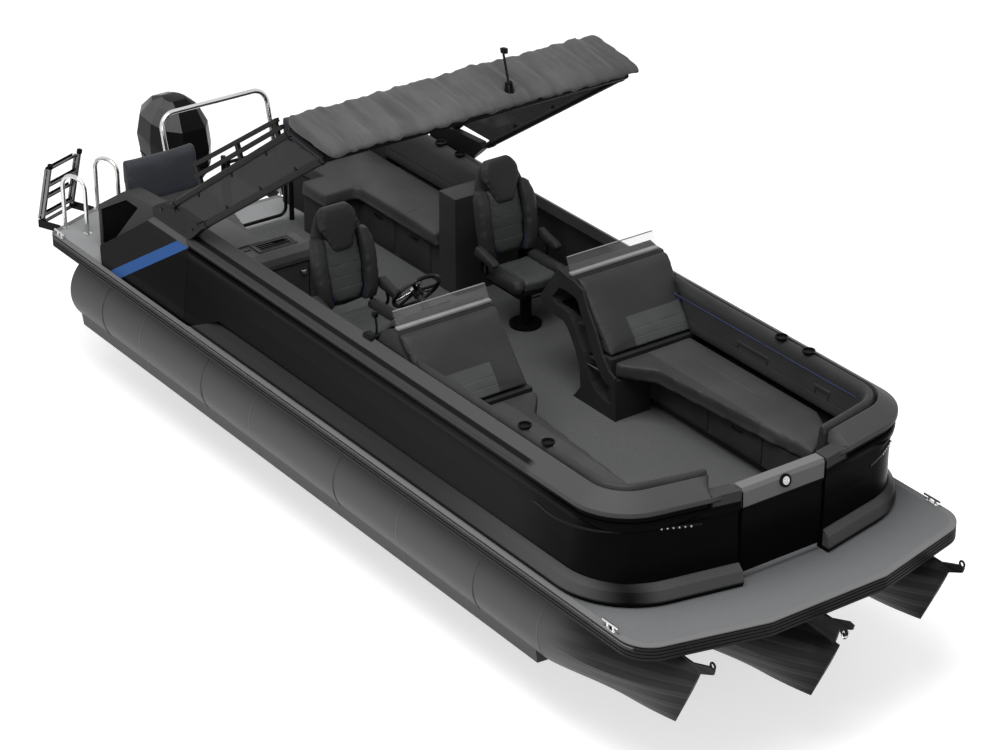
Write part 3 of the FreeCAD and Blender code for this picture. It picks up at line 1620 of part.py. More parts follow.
def canopy_boot():
    bow = size("bow_x").number
    fore = bow - size("boot_front_station").number
    aft = bow - size("boot_aft_station").number
    half = (size("fence_half") + size("boot_overhang")).number
    thick = size("boot_thickness").number
    clear = size("arch_tube").number + size("seat_gap").number
    low_front = up(arch_front_height()).number + clear
    low_aft = up(size("arch_height")).number + clear
    points = [(fore, low_front + 18), (fore - 30, low_front), (aft + 30, low_aft), (aft, low_aft + 20),
              (aft + 20, low_aft + thick), (fore - 60, low_front + thick * 0.75),
              (fore - 8, low_front + thick * 0.45)]
    face = Part.Face(Part.makePolygon([Vector(x, -half, z) for x, z in points + [points[0]]]))
    pivot = mast_pivot()
    slot = Part.makeBox(84, 64, thick * 4, Vector(pivot.x - 26, pivot.y - 32, low_front - thick))
    return feature("canopy_boot", face.extrude(Vector(0, 2 * half, 0)).cut(slot))


def mast_pivot():
    return Vector(at(size("mast_station")).number, size("mast_side").number, up(size("mast_height")).number)


def mast_bracket():
    """Two ears on the front cross tube that hold the light mast."""
    pivot = mast_pivot()
    foot = at(size("arch_front_top_station")).number
    level = up(arch_front_height()).number
    thick = size("mast_ear").number
    reach = size("mast_hub").number + size("seat_gap").number
    ears = []
    for shift in (-reach - thick, reach):
        outline = [(foot - 17, level), (foot + 17, level), (pivot.x + 14, pivot.z - 6),
                   (pivot.x + 8, pivot.z + 14),
                   (pivot.x - 8, pivot.z + 14), (pivot.x - 14, pivot.z - 6)]
        corners = [Vector(x, pivot.y + shift, z) for x, z in outline]
        ears.append(Part.Face(Part.makePolygon(corners + [corners[0]])).extrude(Vector(0, thick, 0)))
    return ears


def light_mast():
    pivot = mast_pivot()
    length = size("mast_length").number
    rise = Vector(-size("mast_lean").number, 0, length).normalize()
    hub = size("mast_hub").number
    barrel = Part.makeCylinder(12, 2 * hub, pivot - Vector(0, hub, 0), Vector(0, 1, 0))
    pole = Part.makeCylinder(size("mast_radius").number, length, pivot, rise)
    lamp = Part.makeCylinder(17, 34, pivot + rise * length, rise)
    return feature("light_mast", barrel.fuse([pole, lamp]).removeSplitter())


doc.recompute()
NODES["arch_frame"] = arch_legs()
NODES["arch_panels"] = arch_panels()
NODES["canopy_boot"] = canopy_boot()
NODES["light_mast"] = light_mast()


# Cleats on the deck edge

def cleats():
    pieces = []
    top = up(sized(0)).number
    long = size("cleat_length").number
    radius = size("cleat_radius").number
    tall = size("cleat_height").number
    for station in (size("cleat_bow_station"), size("cleat_stern_station")):
        for way in (-1, 1):
            x = at(station).number
            y = way * (size("half_beam") - size("trim_width") / 2).number
            horn = Part.makeCylinder(radius, long, Vector(x - long / 2, y, top + tall), Vector(1, 0, 0))
            feet = [Part.makeCylinder(radius + 1, tall, Vector(x + shift, y, top)) for shift in (-28, 28)]
            pieces.append(horn.fuse(feet).removeSplitter())
    return feature("cleats", Part.makeCompound(pieces))


NODES["cleats"] = cleats()


# Check and write

doc.recompute()
for thing in doc.Objects:
    if "Invalid" in thing.State or "Error" in thing.State:
        raise RuntimeError("%s did not rebuild: %s" % (thing.Name, thing.State))
os.makedirs("parts", exist_ok=True)
for name, thing in NODES.items():
    thing.Label = name
    shape = thing.Shape
    if shape.isNull() or not shape.isValid() or not shape.Solids:
        raise RuntimeError(name + " is not a valid solid")
    shape.exportStep(os.path.join("parts", name + ".step"))
    box_now = shape.BoundBox
    print("%-18s solids %2d volume %.4f m3  x %6.0f..%6.0f  y %6.0f..%6.0f  z %6.0f..%6.0f" % (
        name, len(shape.Solids), shape.Volume / 1e9, box_now.XMin, box_now.XMax, box_now.YMin, box_now.YMax,
        box_now.ZMin, box_now.ZMax))
print(len(NODES), "nodes")
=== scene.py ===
import bpy
import math
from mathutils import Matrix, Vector


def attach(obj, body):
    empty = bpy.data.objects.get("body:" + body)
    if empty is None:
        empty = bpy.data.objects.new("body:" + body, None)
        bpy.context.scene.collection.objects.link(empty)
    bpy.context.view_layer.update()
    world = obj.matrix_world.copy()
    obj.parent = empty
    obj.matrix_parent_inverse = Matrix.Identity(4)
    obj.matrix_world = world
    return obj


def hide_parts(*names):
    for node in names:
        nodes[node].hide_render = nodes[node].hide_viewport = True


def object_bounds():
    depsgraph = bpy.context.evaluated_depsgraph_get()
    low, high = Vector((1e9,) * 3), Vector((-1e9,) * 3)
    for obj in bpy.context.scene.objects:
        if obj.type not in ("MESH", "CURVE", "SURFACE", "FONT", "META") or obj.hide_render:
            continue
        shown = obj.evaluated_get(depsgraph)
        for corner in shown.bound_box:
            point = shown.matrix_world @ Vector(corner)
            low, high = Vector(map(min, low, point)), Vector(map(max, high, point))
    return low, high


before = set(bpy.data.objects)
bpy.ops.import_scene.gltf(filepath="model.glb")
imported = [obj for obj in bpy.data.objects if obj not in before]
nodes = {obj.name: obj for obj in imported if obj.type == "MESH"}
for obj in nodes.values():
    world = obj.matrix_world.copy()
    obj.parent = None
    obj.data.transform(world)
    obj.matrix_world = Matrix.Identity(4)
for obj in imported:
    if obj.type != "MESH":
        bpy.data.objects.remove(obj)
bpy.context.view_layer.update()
bpy.ops.object.select_all(action="DESELECT")
print("frame loaded,", len(nodes), "nodes")

# The deck is 0.54 m above the waterline, and stations count aft from its front edge.
deckTop = 0.54
bowX = 3.65

camera = {"place": (15.4227, -10.8751, 10.3352), "target": (0.2768, 0.0, 0.61066), "lens": 112.6}
studio = {
    "floorDrop": 0.012, "floorSize": 90.0, "floorGlow": 0.62, "skyLight": 0.34, "middle": (0, 0, 0.5),
    "lamps": (("keySoftbox", (2.0, -3.0, 9.5), (9.0, 6.0), 1150.0),
              ("fillSoftbox", (11.0, -9.0, 4.0), (6.0, 4.0), 260.0)),
}


def station(aft):
    return bowX - aft


def level(height):
    return deckTop + height


def at(aft, side, height):
    return Vector((station(aft), side, level(height)))


class Wire:
    def __init__(self, shader, socket):
        self.shader = shader
        self.socket = socket

    def maths(self, operation, *others):
        return self.shader.add("ShaderNodeMath", {"operation": operation}, [self, *others])

    def __add__(self, other):
        return self.maths("ADD", other)

    def __radd__(self, other):
        return self.maths("ADD", other)

    def __sub__(self, other):
        return self.maths("SUBTRACT", other)

    def __rsub__(self, other):
        return self.shader.add("ShaderNodeMath", {"operation": "SUBTRACT"}, [other, self])

    def __mul__(self, other):
        return self.maths("MULTIPLY", other)

    def __rmul__(self, other):
        return self.maths("MULTIPLY", other)

    def __abs__(self):
        return self.maths("ABSOLUTE")

    def above(self, edge, blur=0.003):
        return self.shader.smooth(self, edge - blur, edge + blur)

    def below(self, edge, blur=0.003):
        return 1 - self.above(edge, blur)

    def wave(self, pitch):
        return (self * (2 * math.pi / pitch)).maths("SINE")

    def near(self, place, width):
        return 1 - self.shader.smooth(abs(self - place), 0.0, width)

    def nearAny(self, places, width):
        marks = self.near(places[0], width)
        for place in places[1:]:
            marks = marks + self.near(place, width)
        return marks


class Shader:
    socketNames = {
        "colour": "Base Color", "roughness": "Roughness", "metallic": "Metallic", "normal": "Normal",
        "specular": "Specular IOR Level", "sheen": "Sheen Weight", "sheenRoughness": "Sheen Roughness",
        "alpha": "Alpha",
    }

    def __init__(self, name):
        self.material = bpy.data.materials.new(name)
        self.material.use_nodes = True
        self.tree = self.material.node_tree
        self.tree.nodes.clear()
        self.output = self.tree.nodes.new("ShaderNodeOutputMaterial")
        self.surface = self.tree.nodes.new("ShaderNodeBsdfPrincipled")
        self.tree.links.new(self.surface.outputs[0], self.output.inputs[0])

    def join(self, value, socket):
        if isinstance(value, Wire):
            self.tree.links.new(value.socket, socket)
        elif value is not None:
            if socket.type == "RGBA" and len(value) == 3:
                value = (*value, 1.0)
            socket.default_value = value

    def add(self, kind, settings=None, values=(), output=0):
        node = self.tree.nodes.new(kind)
        for key, setting in (settings or {}).items():
            setattr(node, key, setting)
        pairs = values.items() if isinstance(values, dict) else enumerate(values)
        for key, value in pairs:
            self.join(value, node.inputs[key])
        return Wire(self, node.outputs[output])

    def place(self):
        return self.add("ShaderNodeTexCoord", output="Object")

    def axes(self, names="XYZ"):
        split = self.add("ShaderNodeSeparateXYZ", values=[self.place()]).socket.node
        return [Wire(self, split.outputs[name]) for name in names]

    def smooth(self, value, low, high):
        return self.add("ShaderNodeMapRange", {"interpolation_type": "SMOOTHSTEP"},
                        [value, low, high, 0.0, 1.0])

    def noise(self, scale, detail=2.0, roughness=0.5, stretch=None):
        place = self.place()
        if stretch:
            place = self.add("ShaderNodeVectorMath", {"operation": "MULTIPLY"}, [place, stretch])
        values = {"Vector": place, "Scale": scale, "Detail": detail, "Roughness": roughness}
        return self.add("ShaderNodeTexNoise", values=values)

    def cells(self, scale):
        return self.add("ShaderNodeTexVoronoi", values={"Vector": self.place(), "Scale": scale})

    def mix(self, factor, first, second):
        node = self.tree.nodes.new("ShaderNodeMix")
        node.data_type = "RGBA"
        self.join(factor, node.inputs[0])
        self.join(first, node.inputs[6])
        self.join(second, node.inputs[7])
        return Wire(self, node.outputs[2])

    def bump(self, height, strength, distance, under=None):
        values = {"Strength": strength, "Distance": distance, "Height": height}
        if under:
            values["Normal"] = under
        return self.add("ShaderNodeBump", values=values)

    def grain(self, scale, strength, distance):
        return self.bump(self.noise(scale, 2.0), strength, distance)

    def finish(self, **sockets):
        for name, value in sockets.items():
            self.join(value, self.surface.inputs[self.socketNames[name]])
        return self.material


def sRgb(red, green, blue):
    return tuple(v / 255 / 12.92 if v < 11 else ((v / 255 + 0.055) / 1.055) ** 2.4
                 for v in (red, green, blue))


def grey(tone, warmth=0):
    return sRgb(tone + warmth, tone, tone - warmth)


def clouded(shader, colour, spread=0.12, scale=2.4):
    cloud = shader.smooth(shader.noise(scale, 3.0), 0.34, 0.68)
    return shader.mix(cloud, tuple(v * (1 - spread) for v in colour),
                      tuple(min(1.0, v * (1 + spread)) for v in colour))


def scuffed(shader, roughness):
    return roughness + (shader.noise(11.0, 5.0, 0.6) - 0.5) * (0.10 + 0.14 * roughness)


# Moulded plastic, painted metal and trim: a tone, a gloss and a little wear.
def moulded(name, colour, roughness, specular=0.10):
    shader = Shader(name)
    return shader.finish(colour=clouded(shader, colour), roughness=scuffed(shader, roughness),
                         specular=specular, normal=shader.grain(90.0, 0.06, 0.0006))


# Marine vinyl: a fine leather grain over slow creases, a little lighter where it is worn.
def vinyl(name, colour):
    shader = Shader(name)
    grain = shader.bump(shader.cells(420.0), 0.25, 0.0006)
    creases = shader.bump(shader.noise(6.0, 4.0, 0.55, (1.0, 1.0, 1.6)), 0.35, 0.006, grain)
    return shader.finish(colour=clouded(shader, colour, 0.10, 3.0), roughness=scuffed(shader, 0.5),
                         specular=0.16, normal=creases)


# Brushed or polished metal, streaked along the boat.
def metal(name, colour, roughness, streak=(2.0, 60.0, 60.0)):
    shader = Shader(name)
    brushed = shader.noise(14.0, 4.0, 0.6, streak)
    return shader.finish(colour=clouded(shader, colour, 0.08), roughness=roughness + (brushed - 0.5) * 0.12,
                         metallic=1.0, normal=shader.bump(brushed, 0.04, 0.0008))


stripe = {"rake": 1.585, "fore": -2.652, "aft": -2.801, "blue": (54, 92, 152), "top": 1.108}
fencePanel = {
    "seams": (1.18, 0.05, -0.95), "side": 1.15, "crease": 1.05, "quarter": -1.752,
    "gate": (2.2, 0.330), "ledgeHighlight": (1.105, 0.520),
}


# Black skin of the fence with painted reflections: a gradient from near black aft to lighter grey forward and
# dark again at the bow, grey where the side turns to the sky aft, and light grey highlights on the gate's top
# and the ledge beside it; a blue stripe and a satin quarter aft of it.
def fencePaint():
    shader = Shader("fencePaint")
    x, y, z = shader.axes()
    side = abs(y).above(fencePanel["side"])
    rake = x - (z - deckTop) * stripe["rake"]
    blue = side * rake.above(stripe["aft"]) * rake.below(stripe["fore"]) * z.below(stripe["top"])
    satin = side * rake.below(stripe["aft"]) * z.below(stripe["top"])
    # Painted sky reflection: the side above the stripe, aft of the quarter line, is grey.
    skyReflection = side * z.above(stripe["top"]) * x.below(fencePanel["quarter"])
    bowFrom, gateHalf = fencePanel["gate"]
    ledgeFrom, ledgeHalf = fencePanel["ledgeHighlight"]
    # Painted highlights: the gate's top above the crease and the ledge beside it turn light grey.
    ends = abs(y).below(gateHalf, 0.002) * z.above(fencePanel["crease"]) * x.above(bowFrom)
    ledgeHighlight = abs(y).below(ledgeHalf, 0.006) * z.above(ledgeFrom) * x.above(bowFrom)
    # Painted reflection: near black aft, lighter grey forward, dark again at the bow.
    tone = shader.mix(shader.smooth(x, -1.9, 2.2), grey(4), grey(30))
    tone = shader.mix(shader.smooth(x, 2.0, 2.6), tone, grey(10))
    tone = shader.mix(ledgeHighlight, tone, grey(62))
    tone = shader.mix(ends, tone, grey(108))
    tone = shader.mix(satin, tone, grey(32))
    tone = shader.mix(skyReflection, tone, grey(92))
    tone = shader.mix(blue, tone, sRgb(*stripe["blue"]))
    gloss = 0.24 + satin * 0.2 + skyReflection * 0.16 + ends * 0.18 + blue * 0.1
    seams = x.nearAny(fencePanel["seams"], 0.004) * side * z.below(fencePanel["crease"])
    normal = shader.bump(seams, -0.5, 0.003, shader.grain(60.0, 0.05, 0.0005))
    return shader.finish(colour=tone, roughness=gloss + (shader.noise(11.0, 5.0, 0.6) - 0.5) * 0.08,
                         specular=0.012, normal=normal)


cap = {"groove": (1.160, 1.190), "grooveEnd": 2.24, "foot": 0.606}


# The cap's satin grey with painted shadow lines: a black line runs along it outboard of its top, and its foot
# is black; outboard of that line it is a little darker.
def capPaint():
    shader = Shader("capPaint")
    x, y, z = shader.axes()
    inner, outer = cap["groove"]
    grooved = x.below(cap["grooveEnd"], 0.04)
    tone = shader.mix(shader.smooth(x, -2.0, 3.0), grey(64), grey(68))
    tone = shader.mix(abs(y).above(outer, 0.004) * grooved, tone, grey(52))
    # Painted shadow line along the cap's top.
    tone = shader.mix(abs(y).above(inner, 0.003) * abs(y).below(outer, 0.004) * grooved, tone, grey(10))
    # Painted shadow at the cap's foot.
    tone = shader.mix(z.below(level(cap["foot"]), 0.004), tone, grey(8))
    return shader.finish(colour=tone, roughness=scuffed(shader, 0.42), specular=0.06,
                         normal=shader.grain(60.0, 0.06, 0.0005))


# The lower band, a black gloss with painted reflections: lighter grey towards the bow, dark round the bow's
# corners, and black at its foot where it turns away from the sky.
def bandPaint():
    shader = Shader("bandPaint")
    x, y, z = shader.axes()
    # Painted reflection: lighter towards the bow, dark at the bow's corners, black at the foot.
    tone = shader.mix(shader.smooth(x, 1.0, 3.0), grey(40), grey(76))
    tone = shader.mix(abs(y).near(1.05, 0.20) * x.above(2.0, 0.2), tone, grey(10))
    tone = shader.mix(z.below(level(0.030), 0.004), tone, grey(8))
    return shader.finish(colour=tone, roughness=scuffed(shader, 0.30), specular=0.05,
                         normal=shader.grain(60.0, 0.05, 0.0005))


tubeRings = (2.43, 0.9, -0.9, -2.4)
noseRibs = {"pitch": 0.105, "rise": 0.10, "low": 22, "high": 38}


# Tubes: brushed grey metal with welded rings, painted shade darkening the underside, and pressed ribs along
# each black nose, painted with lighter stripes as their highlights and darkest at the tip.
def tubePaint():
    shader = Shader("tubePaint")
    x, z = shader.axes("XZ")
    rings = x.nearAny(tubeRings, 0.012)
    brushed = shader.noise(10.0, 4.0, 0.6, (1.5, 30.0, 30.0))
    nose = x.above(2.75, 0.25)
    ribs = (z - x * noseRibs["rise"]).wave(noseRibs["pitch"]).above(0.15, 0.5) * nose
    # Painted shade: the tube darkens towards its underside.
    tone = shader.mix(shader.smooth(z, -0.28, 0.3), grey(44), grey(78))
    tone = shader.mix(nose, tone, grey(noseRibs["low"]))
    # Painted highlight: lighter stripes along the nose's ribs.
    tone = shader.mix(ribs, tone, grey(noseRibs["high"]))
    tone = shader.mix(x.above(3.60, 0.05), tone, grey(12))
    normal = shader.bump(rings + ribs, 0.5, 0.004, shader.bump(brushed, 0.08, 0.001))
    return shader.finish(colour=tone, roughness=0.42 + (brushed - 0.5) * 0.16, specular=0.12,
                         metallic=0.25 - nose * 0.22, normal=normal)


# Woven deck vinyl: pale at the ends, darkened between the seats by painted shade, with a fine weave.
def deckWeave():
    shader = Shader("deckWeave")
    x, y = shader.axes("XY")
    weave = x.wave(0.006) * y.wave(0.006) + shader.noise(240.0, 2.0) * 0.8
    # Painted shade between the seats, where the fences and lounges keep out the light.
    tone = shader.mix(shader.smooth(x, 2.4, 3.2), grey(54, -1), grey(98, -2))
    tone = shader.mix(x.below(-2.82, 0.06), tone, grey(150, -1))
    tone = shader.mix(shader.smooth(shader.noise(1.6, 3.0), 0.35, 0.7) * 0.16, tone, grey(70))
    speckle = shader.smooth(shader.noise(420.0, 3.0, 0.7), 0.38, 0.62)
    tone = shader.mix(speckle * 0.30, tone, grey(150))
    return shader.finish(colour=tone, roughness=0.72 + (shader.noise(30.0, 3.0) - 0.5) * 0.1, specular=0.08,
                         normal=shader.bump(weave, 0.12, 0.0008))


# The deck's edge: painted highlights, a light line along its dark side where one rib catches the light, and a
# light top.
def edgeTrim():
    shader = Shader("edgeTrim")
    y, z = shader.axes("YZ")
    # Painted highlights on one rib of the side and along the top.
    ribHighlight = z.near(level(-0.030), 0.016) * abs(y).above(1.27)
    tone = shader.mix(ribHighlight, grey(40), grey(124))
    tone = shader.mix(z.above(level(-0.008), 0.002), tone, grey(112))
    return shader.finish(colour=tone, roughness=scuffed(shader, 0.42), specular=0.05,
                         normal=shader.grain(70.0, 0.06, 0.0006))


# Canvas of the canopy's boot: a tight weave with faint sun-bleached patches, and painted highlights
# lightening the raised gathers.
def bootCanvas():
    shader = Shader("bootCanvas")
    x, y, z = shader.axes()
    weave = y.wave(0.0035) + (x + z).wave(0.0035)
    bleached = shader.smooth(shader.noise(2.0, 4.0, 0.6), 0.4, 0.75)
    gathers = shader.smooth(shader.noise(2.6, 3.0, 0.6, (0.5, 4.0, 0.5)), 0.3, 0.7)
    tone = shader.mix(bleached, grey(58), grey(72))
    # Painted highlight: the gathers' crests are lighter.
    tone = shader.mix(gathers * 0.35, tone, grey(88))
    return shader.finish(colour=tone, roughness=0.86, specular=0.12, sheen=0.15, sheenRoughness=0.5,
                         normal=shader.bump(weave, 0.10, 0.0006, shader.bump(gathers, 0.9, 0.012)))


# Glass and smoked plastic with a little dust on it.
def glassOf(name, colour, alpha, roughness):
    shader = Shader(name)
    dust = shader.smooth(shader.noise(3.0, 5.0, 0.6), 0.4, 0.8)
    return shader.finish(colour=colour, roughness=roughness + dust * 0.05, specular=0.06,
                         alpha=alpha + dust * 0.04)


print("helpers ready")
fenceFinish = fencePaint()
capFinish = capPaint()
bandFinish = bandPaint()
tubeFinish = tubePaint()
deckFinish = deckWeave()
trimFinish = edgeTrim()
canvasGrey = bootCanvas()
vinylDark = vinyl("vinylDark", grey(42))
vinylSeat = vinyl("vinylSeat", grey(56))
vinylBolster = vinyl("vinylBolster", grey(46))
vinylInsert = vinyl("vinylInsert", sRgb(64, 67, 66))
vinylStern = vinyl("vinylStern", sRgb(48, 49, 54))
pipingBlue = moulded("pipingBlue", sRgb(50, 60, 92), 0.5)
baseGrey = moulded("baseGrey", grey(50), 0.5)
consoleGrey = moulded("consoleGrey", grey(38), 0.46)
cabinetGrey = moulded("cabinetGrey", grey(72), 0.46)
boxGrey = moulded("boxGrey", grey(42), 0.46)
dashLight = moulded("dashLight", grey(126), 0.4)
trimBlack = moulded("trimBlack", grey(14), 0.4, 0.05)
# satinGrey is the deck edge strips' light grey, a painted highlight.
satinGrey = moulded("satinGrey", grey(82), 0.38)
# bayBlack is painted shade in the open bays, and the colour of dark seams and lines.
bayBlack = moulded("bayBlack", grey(4), 0.7, 0.01)
rubberBlack = moulded("rubberBlack", grey(16), 0.62, 0.04)
cowlBlack = moulded("cowlBlack", grey(16), 0.22, 0.04)
# The cowl's grey is a painted highlight on its lit facets.
cowlGrey = moulded("cowlGrey", grey(82), 0.32, 0.08)
engineGrey = moulded("engineGrey", grey(34), 0.34)
blackTube = moulded("blackTube", grey(14), 0.3, 0.08)
archGrey = moulded("archGrey", grey(24), 0.4, 0.04)
lampGlass = moulded("lampGlass", grey(16), 0.3, 0.06)
whiteLens = moulded("whiteLens", grey(196), 0.2)
ladderSteel = metal("ladderSteel", grey(112), 0.16, (20.0, 20.0, 3.0))
polishedSteel = metal("polishedSteel", grey(206), 0.14, (20.0, 20.0, 3.0))
brushedMetal = metal("brushedMetal", grey(120), 0.34)
windTint = glassOf("windTint", grey(130), 0.15, 0.07)
smokedTint = glassOf("smokedTint", grey(38), 0.92, 0.09)
panelGlass = glassOf("panelGlass", grey(14), 0.97, 0.08)

finishGroups = (
    (tubeFinish, ("tube_starboard", "tube_centre", "tube_port")),
    (deckFinish, ("deck",)),
    (trimFinish, ("deck_trim",)),
    (fenceFinish, ("fence_starboard", "fence_port", "quarter_panels", "bow_gate")),
    (bandFinish, ("lower_bands",)),
    (capFinish, ("rail_caps",)),
    (baseGrey, ("bow_lounge_bases", "aft_lounge_base")),
    (consoleGrey, ("helm_console", "port_console")),
    (cabinetGrey, ("aft_cabinet",)),
    (boxGrey, ("stern_boxes",)),
    (vinylSeat, ("bow_seats", "aft_seats")),
    (vinylDark, ("bow_side_backs", "recliner_backs", "helm_chair", "companion_chair", "aft_backs")),
    (windTint, ("windshields",)),
    (smokedTint, ("arch_panels",)),
    (archGrey, ("arch_frame",)),
    (canvasGrey, ("canopy_boot",)),
    (blackTube, ("steering_wheel", "chair_pedestals", "aft_gate", "aft_gate_posts", "ladder_brackets",
                 "light_mast")),
    (ladderSteel, ("ladder",)),
    (polishedSteel, ("stern_rails", "cleats")),
    (brushedMetal, ("cross_beams", "transom_pod")),
    (engineGrey, ("clamp_bracket", "swivel_bracket", "engine_leg", "propeller")),
    (cowlBlack, ("engine_cowl",)),
)
for material, names in finishGroups:
    for name in names:
        for place in nodes[name].material_slots:
            place.material = material
print("finishes given")


def clear():
    if bpy.context.mode != "OBJECT":
        bpy.ops.object.mode_set(mode="OBJECT")
    bpy.ops.object.select_all(action="DESELECT")


def only(piece):
    clear()
    bpy.context.view_layer.objects.active = piece
    piece.select_set(True)
    return piece


def editing(piece, test=None):
    only(piece)
    for face in piece.data.polygons:
        face.select = bool(test and test(face))
    if not test:
        for vertex in piece.data.vertices:
            vertex.select = True
        for edge in piece.data.edges:
            edge.select = True
        for face in piece.data.polygons:
            face.select = True
    elif not any(face.select for face in piece.data.polygons):
        return False
    bpy.ops.object.mode_set(mode="EDIT")
    bpy.ops.mesh.select_mode(type="FACE" if test else "VERT")
    return True


def settle(piece, name=None):
    only(piece)
    bpy.ops.object.transform_apply(location=True, rotation=True, scale=True)
    if name:
        piece.name = name
    return piece


def modify(piece, kind, **settings):
    only(piece)
    modifier = piece.modifiers.new(kind.lower(), kind)
    for key, value in settings.items():
        setattr(modifier, key, value)
    bpy.ops.object.modifier_apply(modifier=modifier.name)
    return piece


def smoothed(piece, angle=40):
    only(piece)
    bpy.ops.object.shade_smooth_by_angle(angle=math.radians(angle))
    return piece


def wear(piece, material):
    piece.data.materials.clear()
    piece.data.materials.append(material)
    return piece


def joined(name, parts):
    only(parts[0])
    for part in parts[1:]:
        part.select_set(True)
    if len(parts) > 1:
        bpy.ops.object.join()
    parts[0].name = name
    return parts[0]


def copyOf(source, name):
    clear()
    piece = bpy.data.objects.new(name, source.data.copy())
    bpy.context.scene.collection.objects.link(piece)
    return only(piece)


def welded(piece, reach=0.0004):
    editing(piece)
    bpy.ops.mesh.remove_doubles(threshold=reach)
    bpy.ops.mesh.normals_make_consistent(inside=False)
    bpy.ops.object.mode_set(mode="OBJECT")
    return piece


def shifted(source, name, move):
    piece = copyOf(source, name)
    piece.location = move
    return settle(piece)


def finished(piece, material, body, bevel=0.0, angle=35, segments=2):
    if bevel:
        modify(piece, "BEVEL", width=bevel, segments=segments, limit_method="ANGLE",
               angle_limit=math.radians(32))
    smoothed(wear(piece, material), angle)
    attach(piece, body)
    return piece


def fitted(name, parts, material, body="boat", angle=40):
    return finished(joined(name, parts), material, body, 0.0, angle)


def soft(node):
    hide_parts(node)


def halved(piece, place, normal):
    halves = []
    for inner in (True, False):
        part = copyOf(piece, piece.name + "Half")
        editing(part)
        bpy.ops.mesh.bisect(plane_co=place, plane_no=normal, use_fill=True, clear_inner=inner,
                            clear_outer=not inner)
        bpy.ops.object.mode_set(mode="OBJECT")
        if len(part.data.vertices) > 3:
            halves.append(part)
        else:
            bpy.data.objects.remove(part)
    bpy.data.objects.remove(piece)
    return halves


def islands(piece):
    editing(piece)
    bpy.ops.mesh.separate(type="LOOSE")
    bpy.ops.object.mode_set(mode="OBJECT")
    return list(bpy.context.selected_objects)


def shrunk(piece, amount):
    editing(piece)
    bpy.ops.transform.shrink_fatten(value=-amount, use_even_offset=True)
    bpy.ops.object.mode_set(mode="OBJECT")
    return piece


def middleOf(piece):
    corners = [vertex.co for vertex in piece.data.vertices]
    low = Vector([min(corner[axis] for corner in corners) for axis in range(3)])
    high = Vector([max(corner[axis] for corner in corners) for axis in range(3)])
    return (low + high) / 2


cloth = {"frames": 20, "quality": 3, "pressure": 4.0, "stiffness": 25.0}


# A closed form is remeshed, blown up a little as cloth with pressure, and held to how far it may swell.
def stuffed(piece, voxel, swell, flat=0.0):
    modify(piece, "REMESH", mode="VOXEL", voxel_size=voxel)
    modify(piece, "SMOOTH", factor=0.5, iterations=2)
    rest = [vertex.co.copy() for vertex in piece.data.vertices]
    moved = rest
    only(piece)
    modifier = piece.modifiers.new("cloth", "CLOTH")
    modifier.settings.quality = cloth["quality"]
    modifier.settings.use_pressure = True
    modifier.settings.uniform_pressure_force = cloth["pressure"]
    modifier.settings.effector_weights.gravity = 0.0
    modifier.settings.tension_stiffness = cloth["stiffness"]
    modifier.settings.compression_stiffness = cloth["stiffness"]
    modifier.collision_settings.use_collision = False
    modifier.point_cache.frame_start = 1
    modifier.point_cache.frame_end = cloth["frames"]
    for moment in range(cloth["frames"]):
        bpy.context.scene.frame_set(moment + 1)
    shape = piece.evaluated_get(bpy.context.evaluated_depsgraph_get()).data
    moved = [vertex.co.copy() for vertex in shape.vertices]
    piece.modifiers.remove(modifier)
    bpy.context.scene.frame_set(1)
    floor = min(place.z for place in rest) + flat
    for vertex, start, end in zip(piece.data.vertices, rest, moved):
        move = end - start
        if move.length > swell:
            move = move * (swell / move.length)
        vertex.co = start + move if start.z >= floor else start
    modify(piece, "SMOOTH", factor=0.4, iterations=2)
    modify(piece, "SUBSURF", levels=1)
    return smoothed(piece, 75)


# A sewn channel: three close cuts through the skin, the middle one drawn in.
def sewn(piece, place, normal, depth, gap=0.006, near=None):
    direction = Vector(normal).normalized()
    for shift in (-gap, 0.0, gap):
        editing(piece)
        bpy.ops.mesh.bisect(plane_co=Vector(place) + direction * shift, plane_no=direction)
        bpy.ops.object.mode_set(mode="OBJECT")
    for vertex in piece.data.vertices:
        away = abs((vertex.co - Vector(place)).dot(direction))
        if away < 0.0006 and (near is None or near(vertex.co)):
            vertex.co -= vertex.normal * depth
    return piece


# Piping: the line where a plane cuts the pad's skin, made into a thin round cord.
def piped(name, source, lines, radius, material, body):
    parts = []
    for place, normal, near, clips in lines:
        line = copyOf(source, name)
        for edge, outward in clips:
            editing(line)
            bpy.ops.mesh.bisect(plane_co=edge, plane_no=outward, clear_outer=True)
            bpy.ops.object.mode_set(mode="OBJECT")
        editing(line)
        bpy.ops.mesh.bisect(plane_co=place, plane_no=normal)
        bpy.ops.mesh.select_all(action="INVERT")
        bpy.ops.mesh.delete(type="VERT")
        bpy.ops.object.mode_set(mode="OBJECT")
        for vertex in line.data.vertices:
            vertex.select = near is not None and not near(vertex.co)
        bpy.ops.object.mode_set(mode="EDIT")
        bpy.ops.mesh.delete(type="VERT")
        bpy.ops.object.mode_set(mode="OBJECT")
        if not line.data.edges:
            bpy.data.objects.remove(line)
            continue
        bpy.ops.object.convert(target="CURVE")
        bpy.context.object.data.bevel_depth = radius
        bpy.context.object.data.bevel_resolution = 1
        bpy.ops.object.convert(target="MESH")
        parts.append(bpy.context.object)
    return finished(joined(name, parts), material, body, angle=60)


def repaint(piece, materials, rule):
    piece.data.materials.clear()
    for material in materials:
        piece.data.materials.append(material)
    for face in piece.data.polygons:
        face.material_index = rule(face)
    return piece


